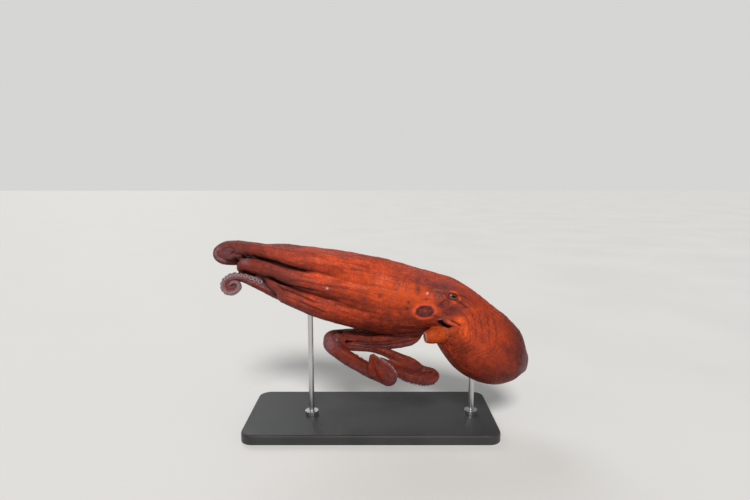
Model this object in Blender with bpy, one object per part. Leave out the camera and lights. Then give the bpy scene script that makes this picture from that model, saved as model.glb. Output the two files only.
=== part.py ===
"""A day octopus, life size, jetting along mantle first with its arms trailed, on a display stand.

The frame is in metres with +Z up. The mantle points to +X, the arms trail to -X and the left
side of the animal faces -Y. The origin is the middle of the underside of the stand's base.
The flesh is parted into lengths by thin cuts. Where arms lie against each other each is
flattened at the plane half way between them, so that none of them overlap.
"""
import math

import bmesh
import bpy
import numpy as np

MM = 0.001
SIDES = 10  # flats round an arm
BODY_SIDES = 24  # flats round the head and the mantle
CUT = 0.4 * MM  # width of the thin cuts that part the flesh
CROWN_CUT = 0.6 * MM  # between the head and the arms
CONTACT_GAP = 1.0 * MM  # clearance between arms that press on each other
CREASE_GAP = 0.4 * MM  # clearance round the eyes, the funnel and the rods
LEAST_RADIUS = 0.5 * MM  # no side of an arm is nearer to its centre line than this
BEND_SHARE = 0.72  # the most of a bend's radius that the inner side of an arm takes up
TIP_RISE = 0.8 * MM  # how far each arm's tip is domed
RING_STEP = 14 * MM  # the length of an arm from ring to ring, where it's straight
RING_TURN = math.radians(24)  # the bend from ring to ring, where it isn't

# The axis of the body, from the tip of the mantle to the far end of the arms: the place of its
# centre in x, y and z, then the half height and the half depth of the body there, all in mm.
BODY_AXIS = (
    (235.0, -10, 90.0, 1, 1),
    (231.0, -10, 91.0, 10, 9),
    (224.8, -10, 93.8, 20.4, 19),
    (211.0, -10, 99.2, 36, 33.5),
    (187.5, -8, 109.5, 49, 46),
    (163.0, -6, 126.5, 54, 50),
    (141.0, -4, 148.5, 50, 47),
    (126.0, -2, 168.0, 45, 42),
    (108.0, -1, 180.0, 44, 39),
    (88.0, 0, 185.0, 46, 40),
    (43.0, 0, 191.0, 53, 44),
    (3.0, 1, 198.5, 56, 44),
    (-39.0, 2, 208.0, 54, 42),
    (-79.0, 3, 217.0, 48, 38),
    (-121.0, 4, 229.5, 41, 33),
    (-158.0, 5, 244.5, 31, 27),
    (-190.0, 6, 257.0, 21, 20),
    (-222.0, 8, 261.0, 12, 13),
)
NECK_X = 126.0 * MM  # the mantle joins the head here
CROWN_X = 88.0 * MM  # the arms join the head here
WEB_FULL_X = 35.0 * MM  # the web hides the arms from the crown to here
WEB_END_X = -100.0 * MM  # and ends here

# Each bundled arm keeps a place in the bundle: its centre, then its half sizes, as shares of the
# bundle's half depth and half height. At the crown all eight stand in a ring.
RING_SHARE = 0.62
RING_ANGLES = {1: 67.5, 2: 22.5, 3: -22.5, 4: -67.5}
SLOTS = {
    1: (0.42, 0.65, 0.52, 0.37),
    2: (0.50, 0.03, 0.50, 0.33),
    3: (0.42, -0.62, 0.50, 0.37),
}
RING_END_X = 10.0 * MM  # past here the arms are in their bundle places

# After the bundle: where each arm leaves it, the points that its tail passes through, and its
# half thickness at those points, all in mm. The last is the tip.
TAILS = {
    "left_1": (
        -186,
        (
            (-208, -3, 268, 11),
            (-221, -2, 263, 9.5),
            (-224, -1, 257, 8.5),
            (-218, 1, 251, 7.5),
            (-206, 7, 248, 7.2),
            (-192, 18, 246.5, 7),
            (-176, 29, 244.5, 6.2),
            (-158, 38, 241, 5.8),
            (-138, 43, 236, 5.4),
            (-114, 47, 229, 4.8),
            (-86, 50, 220, 4),
            (-55, 53, 209, 3),
            (-25, 54, 201, 2.2),
            (2, 54, 196, 1.2),
        ),
    ),
    "left_2": (
        -150,
        (
            (-170, -8, 242.5, 11),
            (-183, -7, 244, 9.5),
            (-190, -4, 239, 8),
            (-187, 0, 232.5, 7),
            (-177, 3, 231, 6.4),
            (-164, 5, 232, 5.2),
            (-152, 6, 231.5, 3.6),
            (-143, 6, 230.5, 1.8),
        ),
    ),
    "left_3": (
        -116,
        (
            (-132, -10, 209.5, 10),
            (-142, -9, 216, 8.5),
            (-148, -5, 219.5, 7.5),
            (-148, 3, 219.5, 7),
            (-142, 13, 218, 6.2),
            (-129, 25, 213, 6),
            (-111, 34, 204, 5.6),
            (-92, 43, 192, 4.6),
            (-72, 46, 180, 3.8),
            (-54, 45, 166, 2.6),
            (-40, 42, 154, 1.3),
        ),
    ),
    "right_1": (
        -140,
        (
            (-160, 15, 259.0, 12.5),
            (-176, 15, 261.5, 10.5),
            (-187, 20, 260.0, 8.5),
            (-190, 28, 256.0, 7.5),
            (-180, 34, 253.5, 7),
            (-158, 38, 253.0, 6),
            (-130, 44, 250.5, 5),
            (-98, 49, 245.0, 4),
            (-68, 52, 238.0, 3),
            (-40, 54, 232.0, 2),
            (-18, 54, 229.0, 1.2),
        ),
    ),
    "right_2": (
        -138,
        (
            (-156, 21, 232, 10.5),
            (-170, 25, 229, 9.3),
            (-179, 29, 224, 8),
            (-180, 33, 215, 7),
            (-172, 36, 207, 6.2),
            (-158, 38, 202, 5.4),
            (-140, 40, 201, 4.6),
            (-120, 43, 204, 3.6),
            (-100, 46, 206, 2.4),
            (-84, 47, 205, 1.3),
        ),
    ),
    "right_3": (
        -84,
        (
            (-106, 17, 181.5, 12),
            (-126, 13, 192, 10.8),
            (-146, 8, 202, 9.8),
            (-162, 1, 211.6, 8.8),
            (-177, -6, 220.6, 8),
            (-190, -10, 225.9, 7),
            (-205, -12, 224.8, 6),
            (-214, -14, 217.3, 5.2),
            (-212, -17, 207.9, 4.6),
            (-200, -20, 205.6, 4.1),
            (-190, -22.5, 213.6, 3.5),
            (-192, -24.5, 221.3, 2.9),
            (-200, -26, 221.8, 2.2),
            (-203, -27, 216.7, 1.4),
        ),
    ),
    "left_4": (
        78,
        (
            (70, -7, 136, 9.5),
            (57, -7, 132.2, 10),
            (43, -6, 129.5, 10.5),
            (21, -4, 128, 11),
            (0, -1, 128.5, 10),
            (-21, 0, 131.5, 8.5),
            (-35, -1, 133.4, 7.5),
            (-42, -2, 126.7, 6.6),
            (-34, -3, 119.7, 6),
            (-17, -4, 117.7, 5.2),
            (3, -5, 115.7, 5),
            (23, -6, 110.1, 5.6),
            (42, -8, 101.1, 7),
            (60, -10, 94.6, 7.2),
            (76, -12, 85.6, 5.9),
            (91, -15, 81.2, 6.8),
            (93, -21, 78, 8.2),
            (79, -25, 76.9, 9.2),
            (60, -26, 80.2, 9),
            (44, -22, 85.3, 7.8),
            (32, -16, 91.5, 6),
            (22, -15, 98, 4.6),
            (12, -13, 105, 1.3),
        ),
    ),
    "right_4": (
        78,
        (
            (66, 17, 134, 13),
            (42, 23, 128, 13.5),
            (11, 25, 126, 13),
            (-20, 24, 126, 12),
            (-45, 19, 126.9, 10.5),
            (-61, 6, 128.9, 9.8),
            (-61, -8, 123.2, 9.6),
            (-47, -17, 114.6, 9.6),
            (-34, -21, 106.8, 9.6),
            (-19, -22, 97.5, 9.5),
            (-1, -21, 86.7, 9.3),
            (15, -21, 78.2, 9),
            (26, -24, 74, 8.6),
            (30, -29.5, 80.6, 7.6),
            (26, -33, 91.3, 6.8),
            (17, -34, 101.5, 5.6),
            (8, -34, 109.8, 3.8),
            (1, -33, 117.8, 1.3),
        ),
    ),
}
# The shares of each arm's length at which it is parted. A fold is parted at its turning point.
PARTINGS = {
    "left_1": (0.26, 0.572, 0.78),
    "left_2": (0.40, 0.855),
    "left_3": (0.30, 0.633, 0.80),
    "right_1": (0.28, 0.627, 0.80),
    "right_2": (0.30, 0.735, 0.86),
    "right_3": (0.30, 0.66, 0.845, 0.92),
    "left_4": (0.18, 0.373, 0.60, 0.758),
    "right_4": (0.20, 0.513, 0.70, 0.845),
}
LENGTH_NAMES = {
    3: ("root", "middle", "tip"),
    4: ("root", "middle", "fold", "tip"),
    5: ("root", "middle", "fold", "bend", "tip"),
}
TALL = {"left_4": 1.15, "right_4": 1.15}  # height over thickness of a free arm, else 1

EYE_RADIUS = 11.0 * MM
EYES = {"left": (114.5, -31.5, 200.5), "right": (117.0, 25.0, 206.0)}  # each ball's centre, in mm
BROW_RISE = 6.0 * MM  # the swelling of the head round each eye
BROW_REACH = 17.0 * MM

FUNNEL_LINE = (  # x, y, z and radius, in mm, from inside the mantle to the mouth
    (118, -24, 147.5, 12),
    (108, -29, 146.4, 12),
    (97.5, -33, 145.4, 11.4),
    (87.5, -36.5, 144.6, 10.6),
    (81.5, -37.8, 144.1, 9.4),
    (77, -38.7, 143.8, 7.2),
)
FUNNEL_BORE = 4.4 * MM
FUNNEL_DEPTH = 12.0 * MM
APERTURE = ((105.5, -41, 164.0), (10.5, 12, 6.2), 12.0)  # centre, half sizes and tilt of the mantle's gape

BASE = (370 * MM, 156 * MM, 14 * MM)
BASE_CORNER = 18 * MM
BASE_EDGE = 2.5 * MM
ROD_RADIUS = 4 * MM
ROD_HOLE_DEPTH = 14 * MM
SOCKET = (10 * MM, 6 * MM)  # radius and height of each rod's collar on the base
FOOT_GAP = 0.3 * MM  # from the base to a collar, and from a collar to its rod
# Each rod's place in x and y, and the height where it meets the flesh.
RODS = {"front": (152 * MM, -6 * MM, 71.4 * MM), "rear": (-90 * MM, -9 * MM, 171.4 * MM)}

COLOURS = {  # base colour, roughness and metallic value
    "skin": ((0.36, 0.06, 0.03), 0.55, 0.0),
    "funnel": ((0.45, 0.12, 0.02), 0.45, 0.0),
    "eye": ((0.05, 0.03, 0.02), 0.15, 0.0),
    "base": ((0.03, 0.03, 0.03), 0.40, 0.0),
    "rod": ((0.60, 0.60, 0.60), 0.30, 1.0),
}


def material(name):
    """The Principled material of that finish, made once."""
    found = bpy.data.materials.get(name)
    if found:
        return found
    colour, roughness, metallic = COLOURS[name]
    made = bpy.data.materials.new(name)
    made.use_nodes = True
    shader = made.node_tree.nodes["Principled BSDF"]
    shader.inputs["Base Color"].default_value = (*colour, 1)
    shader.inputs["Roughness"].default_value = roughness
    shader.inputs["Metallic"].default_value = metallic
    made.diffuse_color = (*colour, 1)
    return made


def unit(vector):
    """The vector, or each row of vectors, made one long."""
    vector = np.asarray(vector, float)
    return vector / np.linalg.norm(vector, axis=-1, keepdims=True)


def smooth_line(points, step=1.5 * MM):
    """A smooth curve through the points, sampled at every step, with every column carried along."""
    points = np.asarray(points, float)
    chord = np.linalg.norm(np.diff(points[:, :3], axis=0), axis=1)
    knots = np.concatenate([[0], np.cumsum(np.sqrt(chord / chord.mean()) * chord.mean())])
    slopes = np.gradient(points, knots, axis=0)
    fine = []
    for i, span in enumerate(np.diff(knots)):
        t = np.linspace(0, 1, max(3, int(chord[i] / step) * 2), endpoint=False)[:, None]
        fine.append(
            (2 * t**3 - 3 * t**2 + 1) * points[i]
            + (t**3 - 2 * t**2 + t) * span * slopes[i]
            + (3 * t**2 - 2 * t**3) * points[i + 1]
            + (t**3 - t**2) * span * slopes[i + 1]
        )
    fine = np.concatenate([*fine, points[-1:]])
    run = arc(fine)
    even = np.linspace(0, run[-1], max(4, int(run[-1] / step)))
    return np.stack([np.interp(even, run, column) for column in fine.T], axis=1)


def arc(line):
    """The distance along the line at each of its points."""
    steps = np.linalg.norm(np.diff(line[:, :3], axis=0), axis=1)
    return np.concatenate([[0], np.cumsum(steps)])


def across(tangent):
    """Two unit directions square to a tangent: sideways, near +Y, and upwards."""
    side = np.array([0.0, 1.0, 0.0])
    side = unit(side - tangent * (side @ tangent))
    return side, np.cross(tangent, side) * (1 if np.cross(tangent, side)[2] >= 0 else -1)


def frames(line):
    """The tangent, side and up directions at each point, turning no more than the line does."""
    tangents = unit(np.gradient(line[:, :3], axis=0))
    side, up = across(tangents[0])
    found = []
    for tangent in tangents:
        side = unit(side - tangent * (side @ tangent))
        turned = np.cross(tangent, side)
        up = turned if turned @ up > 0 else -turned
        found.append((tangent, side, up))
    return np.array(found)


AXIS = smooth_line(np.array(BODY_AXIS) * MM)
AXIS_FRAMES = frames(AXIS)


def axis_at(x):
    """The index of the body axis's point at that x. The axis runs from +X to -X."""
    return int(np.argmin(np.abs(AXIS[:, 0] - x)))


def ease(value, start, end):
    """0 before start, 1 after end, and smooth between."""
    t = np.clip((value - start) / (end - start), 0, 1)
    return t * t * (3 - 2 * t)


class Arm:
    """One arm: its centre line, with its half width and half height, and the planes of its rings."""

    def __init__(self, name):
        self.name = name
        side, number = name.split("_")
        self.sign = -1 if side == "left" else 1
        self.number = int(number)
        leaves, tail = TAILS[name]
        self.leaves_x = leaves * MM
        tall = TALL.get(name, 1.0)
        free = [(x, y, z, t, t * tall) for x, y, z, t in tail]
        free = [tuple(v * MM for v in row) for row in free]
        self.line = smooth_line(self.bundled() + free)
        self.run = arc(self.line)
        self.frames = frames(self.line)
        crown = AXIS_FRAMES[axis_at(CROWN_X)]
        blend = ease(self.run, 0, 30 * MM)[:, None]
        normal = unit((1 - blend) * crown[0] + blend * self.frames[:, 0])
        self.normals = normal
        turning = np.gradient(self.frames[:, 0], axis=0) / np.gradient(self.run)[:, None]
        reach = 4
        padded = np.pad(turning, ((reach, reach), (0, 0)), mode="edge")
        near = np.stack([padded[k : k + len(turning)] for k in range(2 * reach + 1)])
        sharpest = np.linalg.norm(near, axis=2).max(0)
        self.bends = unit(turning + 1e-9) * sharpest[:, None]

    def bundled(self):
        """The arm's points from the crown to where it leaves the bundle."""
        angle = math.radians(RING_ANGLES[self.number])
        ring = (
            RING_SHARE * math.cos(angle),
            RING_SHARE * math.sin(angle),
            0.40,
            0.36,
        )
        place = SLOTS.get(self.number, ring)
        rows = []
        stops = [x for x in np.arange(CROWN_X, self.leaves_x - 1e-6, -12 * MM)]
        for x in stops:
            i = axis_at(x)
            moved = ease(-x, -CROWN_X, -RING_END_X)
            y, z, wide, high = (1 - moved) * np.array(ring) + moved * np.array(place)
            half_height, half_depth = AXIS[i, 3:5]
            _, side, up = AXIS_FRAMES[i]
            centre = AXIS[i, :3] + side * (self.sign * y * half_depth) + up * (z * half_height)
            rows.append((*centre, wide * half_depth, high * half_height))
        return rows

    def web_share(self, i):
        """How far the web takes the arm's outer side at point i out to the whole bundle's outline."""
        start = WEB_FULL_X if self.number < 4 else CROWN_X - 4 * MM
        end = WEB_END_X if self.number < 4 else self.leaves_x - 20 * MM
        return 1 - float(ease(-self.line[: i + 1, 0].min(), -start, -end))


def to_outline(centre, direction):
    """The distance from a centre inside the bundle to the bundle's outline, or 0 from outside."""
    i = int(np.argmin(((AXIS[:, :3] - centre) ** 2).sum(1)))
    _, side, up = AXIS_FRAMES[i]
    half_height, half_depth = AXIS[i, 3:5]
    place = centre - AXIS[i, :3]
    p = np.array([place @ side / half_depth, place @ up / half_height])
    d = np.array([direction @ side / half_depth, direction @ up / half_height])
    inside = 1 - p @ p
    if inside <= 0:
        return 0.0
    a, b = d @ d, p @ d
    return (-b + math.sqrt(b * b + a * inside)) / a


def depth_in_cell(points, arm, i, arms):
    """How far inside arm's own share of space each point is. Shares meet half way between arms."""
    near = np.abs(arm.run - arm.run[i]) < 2.2 * arm.line[i, 3:5].mean() + 8 * MM
    own, own_centre = power(points, arm.line[near])
    depth = np.full(len(points), 1.0)
    for other in arms:
        line = other.line[~near] if other is arm else other.line
        if np.linalg.norm(line[:, :3] - arm.line[i, :3], axis=1).min() > 80 * MM:
            continue
        theirs, their_centre = power(points, line)
        apart = np.linalg.norm(own_centre - their_centre, axis=1) + 1e-9
        depth = np.minimum(depth, (theirs - own) / (2 * apart))
    return depth


def power(points, line):
    """Each point's least squared distance to the line less its squared radius, and from where."""
    squared = ((points[:, None, :] - line[None, :, :3]) ** 2).sum(2)
    value = squared - (line[:, 3] * line[:, 4])[None, :]
    best = value.argmin(1)
    return value[np.arange(len(points)), best], line[best, :3]


def ring_at(arm, i, arms):
    """The ring of the arm at point i of its line, flattened where neighbours press on it."""
    centre = arm.line[i, :3]
    normal = arm.normals[i]
    _, side, up = arm.frames[i]
    side = unit(side - normal * (side @ normal))
    up = unit(up - normal * (up @ normal) - side * (up @ side))
    web = arm.web_share(i)
    half_width, half_height = arm.line[i, 3:5]
    bend = arm.bends[i]
    inner = BEND_SHARE / max(np.linalg.norm(bend), 1e-6)
    reach, ways = [], []
    for k in range(SIDES):
        angle = 2 * math.pi * k / SIDES
        way = math.cos(angle) * side + math.sin(angle) * up
        oval = 1 / math.hypot(math.cos(angle) / half_width, math.sin(angle) / half_height)
        if web > 0:
            oval = (1 - web) * oval + web * to_outline(centre, way)
        lean = way @ unit(bend) if np.linalg.norm(bend) > 1 else 0.0
        if lean > 0.05:
            oval = min(oval, inner / lean)
        reach.append(oval)
        ways.append(way)
    reach, ways = np.array(reach), np.array(ways)
    shares = np.linspace(0, 1, 25)[1:]
    tried = centre + (shares[:, None, None] * reach[None, :, None]) * ways[None]
    spare = depth_in_cell(tried.reshape(-1, 3), arm, i, arms) - CONTACT_GAP / 2
    spare = spare.reshape(len(shares), SIDES)
    ring = []
    for k in range(SIDES):
        out = np.nonzero(spare[:, k] < 0)[0]
        share = 1.0
        if len(out):
            j = out[0]
            before = spare[j - 1, k] if j else spare[:, k].max()
            part = before / max(before - spare[j, k], 1e-9)
            share = shares[j] - shares[0] * (1 - float(np.clip(part, 0, 1)))
        ring.append(centre + ways[k] * max(reach[k] * share, LEAST_RADIUS))
    return np.array(ring)


def stations(arm, start, end):
    """The points of the arm's line that get a ring, closer together where it bends or is thin."""
    i, last = int(np.searchsorted(arm.run, start)), int(np.searchsorted(arm.run, end)) - 1
    picked, turned, walked = [i], 0.0, 0.0
    for j in range(i + 1, last):
        turned += math.acos(min(1.0, arm.frames[j, 0] @ arm.frames[j - 1, 0]))
        walked += arm.run[j] - arm.run[j - 1]
        if walked > RING_STEP or (turned > RING_TURN and walked > 3 * MM):
            picked.append(j)
            turned, walked = 0.0, 0.0
    if last - picked[-1] < 2 and len(picked) > 1:
        picked.pop()
    return [*picked, last]


def mesh_object(name, points, faces, finish):
    """A mesh object of those points and faces, with its faces turned outwards."""
    mesh = bpy.data.meshes.new(name)
    mesh.from_pydata([tuple(p) for p in points], [], faces)
    bm = bmesh.new()
    bm.from_mesh(mesh)
    bmesh.ops.recalc_face_normals(bm, faces=bm.faces)
    bm.to_mesh(mesh)
    bm.free()
    mesh.shade_smooth()
    mesh.materials.append(material(finish))
    obj = bpy.data.objects.new(name, mesh)
    bpy.context.scene.collection.objects.link(obj)
    return obj


def loft(name, rings, finish, crowned=(0.0, 0.0)):
    """A closed solid through the rings. crowned lifts the middle of the first and last cap."""
    count = len(rings[0])
    points = [p for ring in rings for p in ring]
    faces = []
    for r in range(len(rings) - 1):
        for k in range(count):
            a, b = r * count + k, r * count + (k + 1) % count
            faces.append((a, b, b + count, a + count))
    for ring, base, out, rise in (
        (rings[0], 0, rings[0].mean(0) - rings[1].mean(0), crowned[0]),
        (rings[-1], (len(rings) - 1) * count, rings[-1].mean(0) - rings[-2].mean(0), crowned[1]),
    ):
        points.append(ring.mean(0) + unit(out) * rise)
        hub = len(points) - 1
        faces.extend((base + k, base + (k + 1) % count, hub) for k in range(count))
    return mesh_object(name, points, faces, finish)


def build_arms():
    """All eight arms, each parted into its lengths."""
    arms = [Arm(name) for name in TAILS]
    made = {}
    for arm in arms:
        shares = (0.0, *PARTINGS[arm.name], 1.0)
        names = LENGTH_NAMES[len(shares) - 1]
        for k, length_name in enumerate(names):
            start, end = shares[k] * arm.run[-1], shares[k + 1] * arm.run[-1]
            rings = [ring_at(arm, i, arms) for i in stations(arm, start, end)]
            tip = k == len(names) - 1
            name = f"arm_{arm.name}_{length_name}"
            made[name] = loft(name, rings, "skin", (0.0, TIP_RISE if tip else 0.0))
    return made


def body_ring(i):
    """A ring of the body round its axis's point i, swollen where the eyes are."""
    _, side, up = AXIS_FRAMES[i]
    half_height, half_depth = AXIS[i, 3:5]
    ring = []
    for k in range(BODY_SIDES):
        angle = 2 * math.pi * k / BODY_SIDES
        point = AXIS[i, :3] + side * (half_depth * math.cos(angle)) + up * (half_height * math.sin(angle))
        out = unit(point - AXIS[i, :3])
        for centre in EYES.values():
            away = np.linalg.norm(point - np.array(centre) * MM)
            point = point + out * BROW_RISE * math.exp(-((away / BROW_REACH) ** 2))
        ring.append(point)
    return np.array(ring)


def cut_with(target, cutter):
    """Takes the cutter out of the target. The cutter isn't part of the model."""
    cutter.hide_render = True
    cutter.display_type = "WIRE"
    boolean = target.modifiers.new(f"minus_{cutter.name}", "BOOLEAN")
    boolean.operation = "DIFFERENCE"
    boolean.solver = "EXACT"
    boolean.object = cutter


def ball(name, centre, radii, finish, segments=16, tilt=0.0):
    """An ellipsoid at a centre, with its half sizes, tilted about Y in degrees."""
    bm = bmesh.new()
    bmesh.ops.create_uvsphere(bm, u_segments=segments, v_segments=segments // 2, radius=1)
    mesh = bpy.data.meshes.new(name)
    for vertex in bm.verts:
        vertex.co = [a * b for a, b in zip(vertex.co, radii)]
    bm.to_mesh(mesh)
    bm.free()
    mesh.shade_smooth()
    mesh.materials.append(material(finish))
    obj = bpy.data.objects.new(name, mesh)
    obj.location = centre
    obj.rotation_euler = (0, math.radians(tilt), 0)
    bpy.context.scene.collection.objects.link(obj)
    return obj


def tube(name, line, grow, finish, sides=12):
    """A round tube along rows of x, y, z and radius."""
    line = smooth_line(np.array(line) * MM, 4 * MM)
    turned = frames(line)
    rings = []
    for row, (_, side, up) in zip(line, turned):
        angles = np.linspace(0, 2 * math.pi, sides, endpoint=False)[:, None]
        rings.append(row[:3] + (np.cos(angles) * side + np.sin(angles) * up) * (row[3] + grow))
    return loft(name, rings, finish)


def build_body():
    """The head, the mantle, the eyes and the funnel."""
    neck, crown = axis_at(NECK_X), axis_at(CROWN_X)
    tip_rows = [axis_at(x * MM) for x in (233.5, 231, 227, 220, 210, 199, 187, 175, 163, 152, 141, 133)]
    mantle = loft("mantle", [body_ring(i) for i in (*tip_rows, neck)], "skin", (1.5 * MM, 0.0))
    gap = AXIS_FRAMES[neck][0] * CUT
    head_rows = [body_ring(i) for i in np.linspace(neck, crown, 8).astype(int)]
    head_rows[0] = head_rows[0] + gap
    head_rows[-1] = head_rows[-1] - AXIS_FRAMES[crown][0] * CROWN_CUT
    head = loft("head", head_rows, "skin")
    for side, centre in EYES.items():
        centre = np.array(centre) * MM
        ball(f"eye_{side}", centre, (EYE_RADIUS,) * 3, "eye")
        cut_with(head, ball(f"socket_{side}", centre, (EYE_RADIUS + CREASE_GAP,) * 3, "eye"))
    funnel = tube("funnel", FUNNEL_LINE, 0.0, "funnel")
    line = np.array(FUNNEL_LINE, float)
    way = unit(line[-1, :3] - line[-2, :3])
    mouth = [(*(line[-1, :3] + way * reach), FUNNEL_BORE / MM) for reach in (-FUNNEL_DEPTH / MM, -5.0, 3.0)]
    cut_with(funnel, tube("funnel_bore", mouth, 0.0, "funnel", 10))
    clearance = tube("funnel_clearance", FUNNEL_LINE, CREASE_GAP + 0.4 * MM, "funnel")
    centre, radii, tilt = APERTURE
    gape = ball("aperture", np.array(centre) * MM, np.array(radii) * MM, "skin", 14, tilt)
    for flesh in (head, mantle):
        cut_with(flesh, clearance)
        cut_with(flesh, gape)
    return {"mantle": mantle, "head": head}


def build_stand(flesh):
    """The flat base, and two rods that go a little way up into the flesh above them."""
    length, width, height = BASE
    bm = bmesh.new()
    bmesh.ops.create_cube(bm, size=1)
    mesh = bpy.data.meshes.new("stand_base")
    for vertex in bm.verts:
        x, y, z = vertex.co
        vertex.co = (x * length, y * width, (z + 0.5) * height)
    upright = [e for e in bm.edges if abs(e.verts[0].co.z - e.verts[1].co.z) > height / 2]
    bmesh.ops.bevel(bm, geom=upright, offset=BASE_CORNER, segments=6, affect="EDGES", profile=0.5)
    top = [e for e in bm.edges if min(v.co.z for v in e.verts) > height * 0.99]
    bmesh.ops.bevel(bm, geom=top, offset=BASE_EDGE, segments=2, affect="EDGES", profile=0.5)
    bm.to_mesh(mesh)
    bm.free()
    mesh.materials.append(material("base"))
    base = bpy.data.objects.new("stand_base", mesh)
    bpy.context.scene.collection.objects.link(base)
    for place, (x, y, meets_z) in RODS.items():
        radius, rise = SOCKET
        collar_z = height + FOOT_GAP
        rod_z = collar_z + rise + FOOT_GAP
        top_z = meets_z + ROD_HOLE_DEPTH
        bar(f"stand_socket_{place}", (x, y), (collar_z, collar_z + rise), radius, "rod")
        bar(f"stand_rod_{place}", (x, y), (rod_z, top_z), ROD_RADIUS, "rod")
        hole = ROD_RADIUS + CREASE_GAP
        cutter = bar(f"rod_hole_{place}", (x, y), (height, top_z + CREASE_GAP), hole, "rod")
        for obj in flesh[place]:
            cut_with(obj, cutter)


def bar(name, place, levels, radius, finish, sides=16):
    """An upright round bar at a place in x and y, between two levels."""
    angles = np.linspace(0, 2 * math.pi, sides, endpoint=False)
    x, y = place[0] + radius * np.cos(angles), place[1] + radius * np.sin(angles)
    return loft(name, [np.stack([x, y, np.full(sides, z)], axis=1) for z in levels], finish)


def main():
    """Clears the scene and builds the octopus and its stand."""
    for obj in list(bpy.data.objects):
        bpy.data.objects.remove(obj)
    body = build_body()
    arms = build_arms()
    build_stand({"front": [body["mantle"]], "rear": [arms["arm_left_3_middle"]]})


main()
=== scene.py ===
"""The looks of a life-size day octopus that jets along mantle first, on its display stand.

One skin covers the mantle, the head, the funnel and all eight arms. The eyes, the suckers and
the stand are pieces of their own. Everything is in metres, +X to the mantle's tip and -Y to the
animal's left side.
"""

from __future__ import annotations

import logging
import math
from dataclasses import dataclass, field
from enum import Enum

import bmesh
import bpy
import numpy as np
from mathutils import Matrix, Vector
from mathutils.bvhtree import BVHTree


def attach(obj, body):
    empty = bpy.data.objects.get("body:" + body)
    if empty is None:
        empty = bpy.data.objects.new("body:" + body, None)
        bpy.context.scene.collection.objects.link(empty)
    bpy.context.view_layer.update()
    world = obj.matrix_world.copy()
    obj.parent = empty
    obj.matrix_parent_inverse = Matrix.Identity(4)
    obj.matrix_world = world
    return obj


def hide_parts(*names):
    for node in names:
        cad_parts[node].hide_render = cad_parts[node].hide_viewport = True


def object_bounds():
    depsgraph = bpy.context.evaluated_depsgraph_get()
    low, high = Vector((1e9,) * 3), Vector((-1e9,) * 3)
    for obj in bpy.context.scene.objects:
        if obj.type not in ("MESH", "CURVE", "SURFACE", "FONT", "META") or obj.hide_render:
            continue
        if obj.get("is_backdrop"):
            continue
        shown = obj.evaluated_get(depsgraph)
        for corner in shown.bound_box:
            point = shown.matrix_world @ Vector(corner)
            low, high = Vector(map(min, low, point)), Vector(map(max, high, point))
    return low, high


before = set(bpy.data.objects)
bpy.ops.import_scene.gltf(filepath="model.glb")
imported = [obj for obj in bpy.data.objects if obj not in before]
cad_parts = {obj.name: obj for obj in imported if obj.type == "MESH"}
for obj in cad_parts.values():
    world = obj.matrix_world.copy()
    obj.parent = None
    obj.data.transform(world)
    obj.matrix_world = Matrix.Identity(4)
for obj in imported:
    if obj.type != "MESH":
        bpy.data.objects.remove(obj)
CAD_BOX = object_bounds()

MM = 0.001
Triple = tuple[float, float, float]  # a place, three sizes or a colour
Triples = tuple[Triple, ...]
Pair = tuple[float, float]
Array = np.ndarray
Socket = bpy.types.NodeSocket
LOG = logging.getLogger("octopus")

# The axis of the body, from the tip of the mantle to the far end of the arms: the place of its
# centre in x, y and z, then the half height and the half depth of the body there, all in mm.
BODY_AXIS = (
    (235.0, -10, 90.0, 1, 1), (231.0, -10, 91.0, 10, 9), (224.8, -10, 93.8, 20.4, 19),
    (211.0, -10, 99.2, 36, 33.5), (187.5, -8, 109.5, 49, 46), (163.0, -6, 126.5, 54, 50),
    (141.0, -4, 148.5, 50, 47), (126.0, -2, 168.0, 45, 42), (108.0, -1, 180.0, 44, 39),
    (88.0, 0, 185.0, 46, 40), (43.0, 0, 191.0, 53, 44), (3.0, 1, 198.5, 56, 44),
    (-39.0, 2, 208.0, 54, 42), (-79.0, 3, 217.0, 48, 38), (-121.0, 4, 229.5, 41, 33),
    (-158.0, 5, 244.5, 31, 27), (-190.0, 6, 257.0, 21, 20), (-222.0, 8, 261.0, 12, 13),
)
CROWN_X = 88.0 * MM  # the arms join the head here
WEB_FULL_X = 35.0 * MM  # the web hides the arms from the crown to here
WEB_END_X = -100.0 * MM  # and ends here
# At the crown the arms stand in a ring, at this share of the body's half sizes and at these angles
# above its side for each pair. Half width and half height are shares of the body's half sizes too.
RING_SHARE = 0.62
RING_SIZE = (0.40, 0.36)
RING_ANGLES = {1: 67.5, 2: 22.5, 3: -22.5, 4: -67.5}
# In the bundle, the first three pairs: how far to the side and how far up each arm lies, and its
# half width and half height, as shares of the body's half depth and half height.
SLOTS = {1: (0.42, 0.65, 0.52, 0.37), 2: (0.50, 0.03, 0.50, 0.33), 3: (0.42, -0.62, 0.50, 0.37)}
RING_END_X = 10.0 * MM  # past here the arms are in their bundle places
LOW_WEB = (4.0 * MM, 20.0 * MM)  # the fourth pair's web, before the crown and before the arm leaves
WEB_INSET = 0.985  # the web lies just inside the bundle's outline
BEND_SHARE = 0.72  # the most of a bend's radius that the inner side of an arm takes up
TALL = {"left_4": 1.15, "right_4": 1.15}  # height over thickness of a free arm, else 1
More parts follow.
